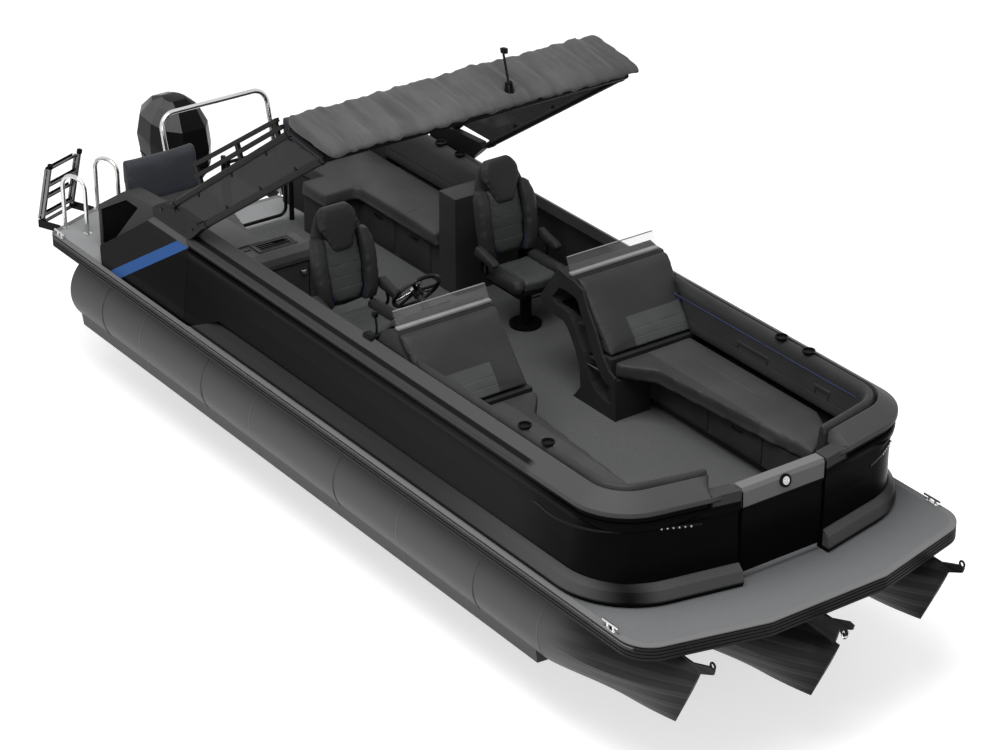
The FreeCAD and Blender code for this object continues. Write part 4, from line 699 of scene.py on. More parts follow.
# Aft of this place the backs belong to the stern's own seats.
sternFrom = -2.7
cushions = {
    "bowSeats": {
        "node": "bow_seats", "inset": 0.006, "voxel": 0.019, "swell": 0.010, "flat": 0.02,
        "cuts": [((1.75, 0, 0), (1, 0, 0), None), ((2.30, 0, 0), (1, 0, 0), None),
                 ((0, 0.585, 0), (0, 1, 0), None), ((0, -0.585, 0), (0, 1, 0), None)]},
    "bowSideBacks": {
        "node": "bow_side_backs", "inset": 0.004, "voxel": 0.018, "swell": 0.008, "flat": 0.0,
        "cuts": [((1.76, 0, 0), (1, 0, 0), None), ((2.335, 0, 0), (1, 0, 0), None),
                 ((0, 0, 1.185), (0, 0, 1), None)]},
    "reclinerBacks": {
        "node": "recliner_backs", "inset": 0.004, "voxel": 0.016, "swell": 0.011, "flat": 0.0,
        "cuts": [((0, 0.538, 1.145), (0, 0.401, -0.057), lambda middle: middle.y > 0),
                 ((0, -0.538, 1.145), (0, 0.401, 0.057), lambda middle: middle.y < 0),
                 ((0, 1.012, 1.066), (0, 0.153, -0.045), lambda middle: middle.y > 0.55),
                 ((0, -1.012, 1.066), (0, 0.153, 0.045), lambda middle: middle.y < -0.55),
                 ((0, 0, 1.15), (0, 0, 1), lambda middle: 0.55 < abs(middle.y) < 0.95)]},
    "aftSeats": {
        "node": "aft_seats", "inset": 0.006, "voxel": 0.019, "swell": 0.011, "flat": 0.02,
        "cuts": [((-1.95, 0, 0), (1, 0, 0), lambda middle: middle.y > 0 and middle.x > -2.3),
                 ((-2.25, 0, 0), (1, 0, 0), None)]},
    "aftBacks": {
        "node": "aft_backs", "inset": 0.004, "voxel": 0.017, "swell": 0.011, "flat": 0.0,
        "cuts": [((-1.95, 0, 0), (1, 0, 0), lambda middle: middle.x > sternFrom),
                 ((0, 0, 1.185), (0, 0, 1), lambda middle: middle.x > sternFrom),
                 ((0, 0, 0.985), (0, 0, 1), lambda middle: middle.x < sternFrom)]},
}


def addCushion(name, plan):
    parts = islands(welded(copyOf(nodes[plan["node"]], name)))
    for place, normal, chosen in plan["cuts"]:
        cut = []
        for part in parts:
            if chosen is None or chosen(middleOf(part)):
                cut = cut + halved(part, place, normal)
            else:
                cut.append(part)
        parts = cut
    parts = [island for part in parts for island in islands(part)]
    for part in parts:
        shrunk(part, plan["inset"])
    piece = stuffed(joined(name, parts), plan["voxel"], plan["swell"], plan["flat"])
    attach(piece, "boat")
    soft(plan["node"])
    print("padded", name)
    return piece


bowSeats = addCushion("bowSeats", cushions["bowSeats"])
for across in (0.78, -0.78):
    sewn(bowSeats, (0, across, 0.96), (0, 1, 0), 0.006, near=lambda place: place.z > 0.93 and place.x < 2.25)
repaint(bowSeats, [vinylSeat, vinylBolster],
        lambda face: int(abs(face.center.y) < 0.585 and face.center.x < 2.3))
bowSideBacks = addCushion("bowSideBacks", cushions["bowSideBacks"])
sewn(bowSideBacks, (0, 0, 1.06), (0, 0, 1), 0.003)
wear(bowSideBacks, vinylDark)
reclinerBacks = addCushion("reclinerBacks", cushions["reclinerBacks"])
for height in (1.03, 1.08):
    sewn(reclinerBacks, (0, 0, height), (0, 0, 1), 0.003, near=lambda place: 0.56 < abs(place.y) < 0.99)
repaint(reclinerBacks, [vinylDark, vinylInsert],
        lambda face: int(face.center.z < 1.15 and 0.55 < abs(face.center.y) < 1.0 and face.normal.x > 0.2))
aftSeats = addCushion("aftSeats", cushions["aftSeats"])
sewn(aftSeats, (0, 0.74, 0.96), (0, 1, 0), 0.006, near=lambda place: place.z > 0.93 and place.x > -2.2)
sewn(aftSeats, (-1.62, 0, 0.96), (1, 0, 0), 0.007, near=lambda place: place.z > 0.88)
wear(aftSeats, vinylSeat)
aftBacks = addCushion("aftBacks", cushions["aftBacks"])
sewn(aftBacks, (0, 0, 1.06), (0, 0, 1), 0.003, near=lambda place: place.x > -2.6)
repaint(aftBacks, [vinylDark, vinylStern], lambda face: int(face.center.x < sternFrom))

piping = {"radius": 0.0042, "proud": 0.003, "sideHeight": 1.185, "reclinerHeight": 1.150,
          "sternHeight": 0.985}


def insideFence(place):
    return abs(place.y) < 1.06 and place.x < 2.72


def skinOf(node):
    return shrunk(welded(copyOf(nodes[node], node + "Skin")), -piping["proud"])


def pipeOn(name, skin, lines):
    return piped(name, skin, lines, piping["radius"], pipingBlue, "boat")


sideSkin = skinOf("bow_side_backs")
pipeOn("sideBackPiping", sideSkin, [((0, 0, piping["sideHeight"]), (0, 0, 1), insideFence, ())])
reclinerSkin = skinOf("recliner_backs")
reclinerLines = []
for way in (-1, 1):
    clips = (((0, 0.545 * way, 0), (0, -way, 0)), ((0, 1.02 * way, 0), (0, way, 0)))
    reclinerLines.append(((0, 0, piping["reclinerHeight"]), (0, 0, 1), lambda place: place.x > 0.86, clips))
pipeOn("reclinerPiping", reclinerSkin, reclinerLines)
aftSkin = skinOf("aft_backs")
pipeOn("aftBackPiping", aftSkin, [
    ((0, 0, piping["sideHeight"]), (0, 0, 1), lambda place: place.x > -2.6 and abs(place.y) < 1.06, ()),
    ((0, 0, piping["sternHeight"]), (0, 0, 1), lambda place: -2.97 < place.x < sternFrom, ())])
for skin in (sideSkin, reclinerSkin, aftSkin):
    bpy.data.objects.remove(skin)
print("piping sewn in")


# A flat outline, added as a circle of as many corners, set to the outline and pulled out to its thickness.
def slab(name, corners, pull):
    clear()
    bpy.ops.mesh.primitive_circle_add(vertices=len(corners), fill_type="NGON")
    piece = bpy.context.object
    piece.name = name
    for vertex, corner in zip(piece.data.vertices, corners):
        vertex.co = Vector(corner)
    editing(piece)
    bpy.ops.mesh.extrude_region_move(TRANSFORM_OT_translate={"value": Vector(pull)})
    bpy.ops.mesh.select_all(action="SELECT")
    bpy.ops.mesh.normals_make_consistent(inside=False)
    bpy.ops.object.mode_set(mode="OBJECT")
    return piece


def sideSlab(name, outline, low, high):
    return slab(name, [at(aft, low, height) for aft, height in outline], (0, high - low, 0))


def planSlab(name, outline, low, high):
    return slab(name, [at(aft, side, low) for aft, side in outline], (0, 0, high - low))


def block(name, low, high, bevel=0.004, segments=2):
    clear()
    low, high = Vector(low), Vector(high)
    bpy.ops.mesh.primitive_cube_add(size=1, location=(low + high) / 2)
    piece = bpy.context.object
    piece.scale = high - low
    settle(piece, name)
    return modify(piece, "BEVEL", width=bevel, segments=segments)


# A turned piece: a cylinder whose top is inset and raised or sunk in steps.
def turned(name, centre, axis, radius, thick, steps=(), sides=28):
    clear()
    axis = Vector(axis).normalized()
    bpy.ops.mesh.primitive_cylinder_add(vertices=sides, radius=radius, depth=thick)
    piece = bpy.context.object
    piece.name = name
    top = thick / 2
    for inset, rise in steps:
        editing(piece, lambda face: face.normal.z > 0.9 and abs(face.center.z - top) < 0.0002 and
                face.center.xy.length < 0.0005)
        bpy.ops.mesh.inset(thickness=inset, depth=0)
        bpy.ops.mesh.extrude_region_move(TRANSFORM_OT_translate={"value": (0, 0, rise)})
        bpy.ops.object.mode_set(mode="OBJECT")
        top = top + rise
    piece.rotation_euler = axis.to_track_quat("Z", "Y").to_euler()
    piece.location = Vector(centre) + axis * (thick / 2)
    return settle(piece)


# A bar along given points: a curve with straight or rounded runs and a round section.
def bar(name, points, radius, closed=False, smooth=False, sides=3):
    clear()
    bpy.ops.curve.primitive_bezier_curve_add()
    curve = bpy.context.object.data
    curve.dimensions = "3D"
    spline = curve.splines[0]
    spline.bezier_points.add(len(points) - 2)
    for point, place in zip(spline.bezier_points, points):
        point.co = Vector(place)
        point.handle_left_type = point.handle_right_type = "AUTO" if smooth else "VECTOR"
    spline.use_cyclic_u = closed
    curve.resolution_u = 8 if smooth else 1
    curve.bevel_depth = radius
    curve.bevel_resolution = sides
    curve.use_fill_caps = True
    only(bpy.context.object)
    bpy.ops.object.convert(target="MESH")
    return settle(bpy.context.object, name)


# A form drawn up ring by ring from its lowest outline, each ring with as many corners.
def lofted(name, rings):
    clear()
    bpy.ops.mesh.primitive_circle_add(vertices=len(rings[0]), fill_type="NGON")
    piece = bpy.context.object
    piece.name = name
    order = list(range(len(rings[0])))
    for index, corner in zip(order, rings[0]):
        piece.data.vertices[index].co = Vector(corner)
    last = rings[0]
    for ring in rings[1:]:
        only(piece)
        for part in (piece.data.vertices, piece.data.edges, piece.data.polygons):
            for item in part:
                item.select = False
        for index in order:
            piece.data.vertices[index].select = True
        bpy.ops.object.mode_set(mode="EDIT")
        bpy.ops.mesh.select_mode(type="VERT")
        bpy.ops.mesh.extrude_region_move(TRANSFORM_OT_translate={"value": (0, 0, 0)})
        bpy.ops.object.mode_set(mode="OBJECT")
        fresh = [vertex.index for vertex in piece.data.vertices if vertex.select]
        order = [min(fresh, key=lambda index: (piece.data.vertices[index].co - Vector(corner)).length)
                 for corner in last]
        for index, corner in zip(order, ring):
            piece.data.vertices[index].co = Vector(corner)
        last = ring
    return welded(piece, 0.00001)


# The chair is drawn round its own middle, forward, to port and up from the deck, then set on its pedestal.
chair = {
    "station": 4.070, "side": 0.670, "seatHalf": 0.232, "insertHalf": 0.140, "voxel": 0.013, "swell": 0.007,
    "lean": ((0.38, 0.095), (0.54, 0.104), (0.73, 0.138), (0.89, 0.176), (1.00, 0.206), (1.09, 0.230),
             (1.15, 0.252)),
    "width": ((0.38, 0.212), (0.54, 0.238), (0.73, 0.250), (0.89, 0.240), (1.00, 0.208), (1.09, 0.162),
              (1.15, 0.112)),
    "shell": ((0.44, 0.190), (0.54, 0.232), (0.73, 0.244), (0.89, 0.234), (1.00, 0.198), (1.09, 0.146),
              (1.13, 0.104)),
    "shellSection": ((-1.0, 0.058), (-0.96, 0.078), (-0.5, 0.092), (0.5, 0.092), (0.96, 0.078), (1.0, 0.058),
                     (0.5, 0.066), (-0.5, 0.066)),
    "insert": ((0.50, 0.100), (0.56, 0.128), (0.74, 0.142), (0.90, 0.134), (0.95, 0.120)),
    "wing": ((0.47, 0.112, 0.00), (0.54, 0.136, -0.020), (0.66, 0.148, -0.034), (0.80, 0.150, -0.040),
             (0.885, 0.146, -0.032), (0.960, 0.138, -0.010)),
    "headrest": ((0.840, 0.062), (0.885, 0.094), (0.97, 0.132), (1.02, 0.154), (1.09, 0.142),
                 (1.146, 0.098)),
    "arm": ((0.146, 0.546), (0.118, 0.612), (-0.075, 0.560), (-0.102, 0.534), (-0.080, 0.500),
            (0.120, 0.528)),
    "armSides": (0.236, 0.296),
    "piping": ((0.52, 0.118), (0.60, 0.140), (0.74, 0.150), (0.90, 0.146)),
}


def along(table, height):
    if height <= table[0][0]:
        return table[0][1]
    for (low, start), (high, end) in zip(table, table[1:]):
        if height <= high:
            return start + (end - start) * (height - low) / (high - low)
    return table[-1][1]


def chairPlace(way, aft, side, height):
    return at(chair["station"] + aft, chair["side"] * way + side, height)


def backRing(way, height, inner, outer, front, deep):
    lean = along(chair["lean"], height)
    return [chairPlace(way, lean + front, inner, height),
            chairPlace(way, lean + front - 0.004, (inner + outer) / 2, height),
            chairPlace(way, lean + front, outer, height), chairPlace(way, lean + deep, outer, height),
            chairPlace(way, lean + deep, inner, height)]


def chairParts(way):
    centre = chair["insertHalf"]

    def seatRing(height, front, back, low, high):
        return [chairPlace(way, front + 0.02, low, height), chairPlace(way, front, (low + high) / 2, height),
                chairPlace(way, front + 0.02, high, height), chairPlace(way, back, high, height),
                chairPlace(way, back, low, height)]

    seatInsert = lofted("seatInsert", [
        seatRing(0.350, -0.270, 0.090, -centre, centre),
        seatRing(0.420, -0.288, 0.095, -centre, centre),
        seatRing(0.440, -0.262, 0.090, -centre + 0.01, centre - 0.01)])
    seatWings = []
    for side in (-1, 1):
        low, high = sorted((side * (centre + 0.006), side * chair["seatHalf"]))
        seatWings.append(lofted("seatWing", [
            seatRing(0.350, -0.262, 0.110, low + 0.012, high - 0.012),
            seatRing(0.405, -0.290, 0.120, low, high),
            seatRing(0.455, -0.262, 0.115, low, high),
            seatRing(0.468, -0.215, 0.105, low + 0.022, high - 0.022)]))
    backInsert = lofted("backInsert", [backRing(way, height, -inner, inner, 0.012, 0.060)
                                       for height, inner in chair["insert"]])
    backWings = []
    for side in (-1, 1):
        rings = []
        for height, inner, proud in chair["wing"]:
            low, high = sorted((side * inner, side * (along(chair["width"], height) - 0.006)))
            rings.append(backRing(way, height, low, high, proud + 0.004, 0.072))
        backWings.append(lofted("backWing", rings))
    headrest = lofted("headrest", [backRing(way, height, -wide, wide, -0.010, 0.066)
                                   for height, wide in chair["headrest"]])
    arms = []
    for side in (-1, 1):
        low, high = sorted(side * place for place in chair["armSides"])
        arms.append(slab("arm", [chairPlace(way, aft, low, height) for aft, height in chair["arm"]],
                         (0, high - low, 0)))
    return {"seatInsert": [seatInsert], "seatWings": seatWings, "backInsert": [backInsert],
            "backWings": backWings, "headrest": [headrest], "arms": arms}


def chairHard(way, body):
    shell = lofted("chairShell", [
        [chairPlace(way, along(chair["lean"], height) + forward, wide * share, height)
         for share, forward in chair["shellSection"]] for height, wide in chair["shell"]])
    finished(modify(shell, "SUBSURF", levels=1), baseGrey, body, 0.0, 60).name = body + "_shell"
    metalParts = []
    hinge = ((0.060, 0.212, 0.352), (0.135, 0.216, 0.372), (0.162, 0.206, 0.480))
    post = ((0.070, 0.244, 0.400), (0.030, 0.258, 0.455), (0.050, 0.262, 0.530))
    for side in (-1, 1):
        metalParts.append(block("chairRail", chairPlace(way, 0.165, side * 0.105 - 0.012, 0.300),
                                chairPlace(way, -0.215, side * 0.105 + 0.012, 0.322), 0.004))
        for name, line, radius in (("backHinge", hinge, 0.013), ("armPost", post, 0.011)):
            points = [chairPlace(way, aft, side * across, height) for aft, across, height in line]
            metalParts.append(bar(name, points, radius, smooth=True))
    metalParts.append(block("seatPan", chairPlace(way, 0.110, -0.200, 0.322),
                            chairPlace(way, -0.262, 0.200, 0.352), 0.010))
    handle = ((-0.200, -0.100, 0.318), (-0.262, -0.080, 0.306), (-0.262, 0.080, 0.306),
              (-0.200, 0.100, 0.318))
    metalParts.append(bar("slideHandle", [chairPlace(way, *place) for place in handle], 0.006))
    metalParts.append(turned("swivelPlate", chairPlace(way, -0.070, 0, 0.289), (0, 0, 1), 0.105, 0.014,
                             ((0.010, 0.003), (0.020, -0.002)), 28))
    fitted(body + "_mechanism", metalParts, trimBlack, body)


chairFinish = {"seatInsert": vinylInsert, "seatWings": vinylBolster, "backInsert": vinylInsert,
               "backWings": vinylBolster, "headrest": vinylDark, "arms": vinylDark}
softMaster = {}
for partName, forms in chairParts(-1).items():
    piece = stuffed(joined("helm_" + partName, forms), chair["voxel"], chair["swell"])
    if partName == "backInsert":
        for height in (0.60, 0.68, 0.76, 0.84):
            sewn(piece, (0, 0, level(height)), (0, 0, 1), 0.003)
    if partName == "seatInsert":
        for aft in (0.00, -0.09, -0.18):
            sewn(piece, chairPlace(-1, aft, 0, 0.4), (1, 0, 0), 0.003,
                 near=lambda place: place.z > level(0.40))
    wear(piece, chairFinish[partName])
    softMaster[partName] = piece
for partName, piece in softMaster.items():
    twin = shifted(piece, "companion_" + partName, (0, 2 * chair["side"], 0))
    for pad, body, node in ((piece, "helm_seat", "helm_chair"), (twin, "companion_seat", "companion_chair")):
        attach(pad, body)
        soft(node)
for way, body in ((-1, "helm_seat"), (1, "companion_seat")):
    chairHard(way, body)
    lines = []
    for side in (-1, 1):
        points = [chairPlace(way, along(chair["lean"], height) + 0.004, side * inner, height)
                  for height, inner in chair["piping"]]
        lines.append(bar("chairPiping", points, 0.0035, smooth=True, sides=1))
    fitted(body + "_piping", lines, pipingBlue, body, angle=60)
print("chairs upholstered")


# Each fold has a pitch across the boat, a height and a skew.
boot = {
    "folds": ((0.62, 0.0040, 2.0), (0.205, 0.0040, -3.5), (0.118, 0.0036, 5.0), (0.067, 0.0016, -8.0)),
    "sink": 0.007, "mast": (0.03, 0.252), "clear": 0.08, "wander": (1.3, 5.1, 40), "voxel": 0.024,
    "swell": 0.010,
}


# Rolled canopy in its boot: a gathered cover with creases fore and aft, flat where the light mast stands.
def bootCover():
    piece = welded(copyOf(nodes["canopy_boot"], "bootCover"))
    wear(piece, canvasGrey)
    stuffed(shrunk(piece, 0.004), boot["voxel"], boot["swell"])
    swing, wave, phase = boot["wander"]
    for vertex in piece.data.vertices:
        place = vertex.co
        away = math.hypot(place.x - boot["mast"][0], place.y - boot["mast"][1])
        share = min(1.0, max(0.0, (away - boot["clear"]) / boot["clear"]))
        fold = 0.0
        for pitch, height, skew in boot["folds"]:
            lean = place.x * skew + swing * math.sin(place.y * wave + pitch * phase)
            fold = fold + height * math.sin(place.y * 2 * math.pi / pitch + lean)
        vertex.co = place + vertex.normal * share * (fold - boot["sink"])
    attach(piece, "boat")
    soft("canopy_boot")


bootCover()
print("canopy rolled")


wheel = {
    "centre": at(3.370, -0.670, 0.890), "tilt": 35, "radius": 0.166, "gripRadius": 0.0147, "hub": 0.040,
    "spokes": (90, 210, 330), "spoke": ((0.030, 0.017), (0.150, 0.010), (0.150, -0.010), (0.030, -0.017)),
    "grips": (20, 110, 200, 290), "gripSteps": (0, 7, 14, 21, 28, 35, 42),
}


# Steering wheel: grips on its rim, three bright spokes and a hub cap, about its own axis.
def dressWheel():
    tilt = math.radians(wheel["tilt"])
    facing = Vector((-math.cos(tilt), 0, math.sin(tilt)))
    across = Vector((0, 1, 0))
    above = facing.cross(across).normalized()
    if above.z < 0:
        above = -above
    centre = wheel["centre"]

    def place(right, high, out):
        return centre + across * right + above * high + facing * out

    spokes = []
    for degrees in wheel["spokes"]:
        angle = math.radians(degrees)
        direction = Vector((math.cos(angle), math.sin(angle)))
        normal = Vector((-direction.y, direction.x))
        corners = [direction * out + normal * wide for out, wide in wheel["spoke"]]
        spokes.append(slab("spoke", [place(spot.x, spot.y, 0.0055) for spot in corners], facing * 0.004))
    finished(joined("wheelSpokes", spokes), polishedSteel, "wheel", 0.0015)
    hub = turned("wheelHub", place(0, 0, 0.006), facing, wheel["hub"], 0.012,
                 ((0.006, 0.004), (0.010, -0.003), (0.004, 0.003)), 36)
    finished(hub, polishedSteel, "wheel", 0.0, 40)
    grips = []
    for start in wheel["grips"]:
        angles = [math.radians(start + step) for step in wheel["gripSteps"]]
        points = [place(math.cos(angle) * wheel["radius"], math.sin(angle) * wheel["radius"], 0)
                  for angle in angles]
        grips.append(bar("grip", points, wheel["gripRadius"], smooth=True, sides=4))
    fitted("wheelGrips", grips, vinylDark, "wheel", angle=60)


dressWheel()


helm = {
    "dash": ((3.045, 0.850), (3.060, 0.884), (3.120, 0.888), (3.275, 0.690), (3.262, 0.662), (3.215, 0.700),
             (3.160, 0.800), (3.100, 0.846)),
    "dashSides": (-1.035, -0.350), "facing": (-0.79, 0, 0.61), "gaugePlace": (3.196, 0.796),
    "gauges": ((-0.86, 0.045), (-0.48, 0.045), (-0.40, 0.026), (-0.94, 0.026)),
    "screen": ((3.128, -0.790, 0.882), (3.128, -0.560, 0.882), (3.186, -0.560, 0.808),
               (3.186, -0.790, 0.808)),
    "switches": (-0.98, -0.95, -0.92, -0.89, -0.46, -0.43, -0.40), "switchHalf": 0.010,
    "stem": ((3.290, -1.040, 0.700), (3.300, -1.030, 0.770), (3.322, -1.026, 0.835)),
}


# Dash, gauges, a chart screen, switches and the throttle on the helm console.
def dressHelm():
    pod = sideSlab("dashPod", helm["dash"], *helm["dashSides"])
    finished(pod, consoleGrey, "boat", 0.010, 40, 3)
    facing = Vector(helm["facing"])
    aft, height = helm["gaugePlace"]
    gauges = [turned("gauge", at(aft, side, height) - facing * 0.004, facing, radius, 0.012,
                     ((0.006, -0.006), (0.004, 0.002)), 28) for side, radius in helm["gauges"]]
    fitted("dashGauges", gauges, brushedMetal)
    screen = slab("chartScreen", [at(*corner) for corner in helm["screen"]], facing * 0.010)
    finished(screen, panelGlass, "boat", 0.003)
    half = helm["switchHalf"]
    switches = [block("switch", at(3.244, side - half, 0.716), at(3.222, side + half, 0.744), 0.003)
                for side in helm["switches"]]
    fitted("dashSwitches", switches, trimBlack)
    lever = [block("throttleBox", at(3.345, -1.115, 0.640), at(3.235, -1.045, 0.735), 0.012, 3),
             bar("throttleStem", [at(*place) for place in helm["stem"]], 0.008, smooth=True),
             turned("throttleHub", at(3.290, -1.052, 0.695), (0, 1, 0), 0.030, 0.020, ((0.008, 0.004),), 24),
             block("throttleGrip", at(3.345, -1.045, 0.822), at(3.305, -1.005, 0.862), 0.012, 3)]
    fitted("throttle", lever, trimBlack)


screens = {"sides": (0.325, 1.055), "rail": ((3.052, 0.853), (3.012, 0.874)), "edge": (3.084, 0.966)}


# A bright rail along the foot of each screen and a trimmed upper edge.
def dressScreens():
    rails = []
    (aft, foot), (fore, top) = screens["rail"]
    edge, height = screens["edge"]
    for way in (-1, 1):
        low, high = sorted(way * side for side in screens["sides"])
        rails.append(block("screenRail", at(aft, low, foot), at(fore, high, top), 0.005))
        rails.append(bar("screenEdge", [at(edge, low + 0.01, height), at(edge, high - 0.01, height)], 0.0045))
    fitted("screenRails", rails, dashLight)


dressHelm()
dressScreens()
print("helm dressed")


portConsole = {
    "shelf": ((2.885, 0.345), (3.150, 0.345), (3.150, 0.640), (2.905, 0.640)), "shelfHeights": (0.604, 0.614),
    "shadeSheet": ((2.700, 0.110), (2.860, 0.368), (2.966, 0.560), (3.040, 0.560), (2.930, 0.368), (2.790, 0.200),
              (2.760, 0.112)),
    "shadeSheetSides": (0.630, 0.642), "rod": ((2.845, 0.288), (2.680, 0.294)), "rodSides": (0.322, 0.318),
    "handle": ((2.640, 0.298, 0.560), (2.640, 0.286, 0.560), (2.700, 0.286, 0.640), (2.700, 0.298, 0.640)),
}


# Port console: a near-black shelf and inner sheet in its bays as painted shade, a metal rod across one of
# them and a handle.
def dressPortConsole():
    # Painted shade: the shelf and the sheet are near black so the bays read dark inside.
    shelf = planSlab("consoleShelf", portConsole["shelf"], *portConsole["shelfHeights"])
    shadeSheet = sideSlab("consoleLiner", portConsole["shadeSheet"], *portConsole["shadeSheetSides"])
    finished(joined("consoleShelves", [shelf, shadeSheet]), bayBlack, "boat", 0.003)
    rodSide, endSide = portConsole["rodSides"]
    rod = bar("consoleRod", [at(aft, rodSide, height) for aft, height in portConsole["rod"]], 0.007)
    ends = [turned("rodEnd", at(aft, endSide, height), (0, 1, 0), 0.012, 0.010, ((0.004, 0.002),), 16)
            for aft, height in portConsole["rod"]]
    fitted("consoleRod", [rod] + ends, brushedMetal)
    handle = bar("consoleHandle", [at(*place) for place in portConsole["handle"]], 0.006)
    fitted("consoleHandle", [handle], trimBlack)


dressPortConsole()


lounge = {
    "cups": ((1.698, 1.017), (1.445, 1.029)), "aftCups": ((5.30, 1.030), (5.55, 1.030)), "top": 0.742,
    "cupRadius": 0.043,
    "pockets": ((2.087, 1.760, 0.445, 0.580), (1.320, 1.163, 0.460, 0.590)), "pocketSides": (0.968, 0.990),
    "bowDoors": ((2.42, 1.90), (1.84, 1.36)), "bowFront": 0.592, "kick": (2.560, 1.000, 0.655, 0.668),
    "aftDoors": ((5.86, 5.46), (5.40, 5.00)), "aftFront": 0.552, "doorThick": 0.012, "pullReach": 0.012,
}


# Cup holders and pockets along the lounges.
def dressLounges():
    cups = [(aft, side * way) for way in (-1, 1) for aft, side in lounge["cups"]] + list(lounge["aftCups"])
    holders = [turned("cup", at(aft, side, lounge["top"]), (0, 0, 1), lounge["cupRadius"], 0.012,
                      ((0.006, -0.004), (0.004, -0.022)), 32) for aft, side in cups]
    fitted("cupHolders", holders, trimBlack)
    pockets = []
    for way in (-1, 1):
        sides = sorted(way * place for place in lounge["pocketSides"])
        for aft, fore, low, high in lounge["pockets"]:
            pocket = block("pocket", at(aft, sides[0], low), at(fore, sides[1], high), 0.009, 3)
            editing(pocket, lambda face: -face.normal.y * way > 0.9 and face.area > 0.01)
            bpy.ops.mesh.inset(thickness=0.016, depth=0)
            bpy.ops.mesh.extrude_region_move(TRANSFORM_OT_translate={"value": (0, 0.008 * way, 0)})
            bpy.ops.object.mode_set(mode="OBJECT")
            pockets.append(pocket)
    fitted("loungePockets", pockets, consoleGrey)


def doorPull(aft, front, grip, height):
    return bar("doorPull", [at(aft + 0.05, front, height), at(aft + 0.04, grip, height),
                            at(aft - 0.04, grip, height), at(aft - 0.05, front, height)], 0.005)


# Doors with their pulls in the lounges' bases, and a kick strip under the bow ones.
def dressBases():
    doors = []
    pulls = []
    front = lounge["bowFront"]
    stern, stem, inner, outer = lounge["kick"]
    for way in (-1, 1):
        low, high = sorted((way * front, way * (front + lounge["doorThick"])))
        for aft, fore in lounge["bowDoors"]:
            doors.append(block("baseDoor", at(aft, low, 0.105), at(fore, high, 0.285), 0.005))
            pulls.append(doorPull((aft + fore) / 2, way * front, way * (front - lounge["pullReach"]), 0.255))
        low, high = sorted((way * inner, way * outer))
        doors.append(block("kickStrip", at(stern, low, 0.004), at(stem, high, 0.086), 0.003))
    front = lounge["aftFront"]
    for aft, fore in lounge["aftDoors"]:
        back = front + lounge["doorThick"]
        doors.append(block("aftDoor", at(aft, front, 0.030), at(fore, back, 0.280), 0.005))
        pulls.append(doorPull((aft + fore) / 2, front, front - lounge["pullReach"], 0.250))
    fitted("baseDoors", doors, baseGrey)
    fitted("basePulls", pulls, trimBlack)


dressLounges()
dressBases()
print("lounges dressed")


# The lamps stand on the last run of each line of docking lights.
bow = {
    "disc": (0.458, 0.003, 0.597), "discFacing": (0.92, 0, 0.30), "discRadius": 0.042, "ringRadius": 0.026,
    "hinge": (0.581, -0.331), "hinges": (0.146, 0.446), "latch": 0.514,
    "latchPull": ((0.300, 0.600), (0.300, 0.622), (0.270, 0.628)),
    "front": 0.464, "seamSide": 0.326, "seam": ((0.004, 0.06), (0.004, 0.48), (0.010, 0.50), (0.006, 0.62)),
    "hornLoop": (-0.100, 0.979, -0.058), "hornRing": 0.020, "eye": (-0.137, 0.0, -0.165),
    "lights": (((1.272, -1.252), (1.017, -1.263), (0.759, -1.154), (0.606, -0.902), (0.476, -0.615)),
               ((0.427, 0.659), (0.500, 0.820), (0.593, 0.971))),
    "lightHeight": 0.494, "lamps": 6, "lampPitch": 0.036, "lampRadius": 0.0055,
}


# Bow: a plain disc in a ring on the gate, its hinges, latch and seams, and the docking lights.
def dressBow():
    facing = Vector(bow["discFacing"]).normalized()
    centre = at(*bow["disc"]) + Vector((0.006, 0, 0))
    disc = turned("gateDisc", centre - facing * 0.006, facing, bow["discRadius"], 0.010,
                  ((0.005, -0.003),), 40)
    finished(disc, trimBlack, "gate", 0.0, 40)
    inner = turned("gateDiscRing", centre + facing * 0.001, facing, bow["ringRadius"], 0.006,
                   ((0.008, -0.003), (0.006, 0.004)), 36)
    finished(inner, polishedSteel, "gate", 0.0, 40)
    hinges = [turned("gateHinge", at(*bow["hinge"], height), (0, 0, 1), 0.013, 0.006, ((0.004, 0.002),), 20)
              for height in bow["hinges"]]
    fitted("gateHinges", hinges, polishedSteel)
    latch = [block("gateLatch", at(0.520, 0.285, 0.540), at(0.500, 0.317, 0.600), 0.006, 3),
             bar("gateLatchPull", [at(bow["latch"], *place) for place in bow["latchPull"]], 0.005)]
    fitted("gateLatch", latch, polishedSteel, "gate")
    strips = []
    glass = []
    for line in bow["lights"]:
        points = [at(aft, side, bow["lightHeight"]) for aft, side in line]
        strips.append(bar("lampStrip", points, 0.008, smooth=True))
        middle = (points[-1] + points[-2]) / 2
        run = (points[-1] - points[-2]).normalized()
        outward = Vector((abs(run.y), -run.x * (1 if run.y > 0 else -1), 0)).normalized()
        for index in range(bow["lamps"]):
            place = middle + run * (index - (bow["lamps"] - 1) / 2) * bow["lampPitch"] + outward * 0.009
            glass.append(turned("lamp", place, outward, bow["lampRadius"], 0.004, ((0.0015, -0.001),), 12))
    fitted("lampStrips", strips, lampGlass, angle=60)
    fitted("dockingLamps", glass, whiteLens)
    front = station(bow["front"])
    seams = [bar("gateSeam", [(front + proud, side, level(height)) for proud, height in bow["seam"]],
                 0.0045, sides=1) for side in (-bow["seamSide"], bow["seamSide"])]
    fitted("gateSeams", seams, bayBlack)


def turns(count):
    return [2 * math.pi * index / count for index in range(count)]


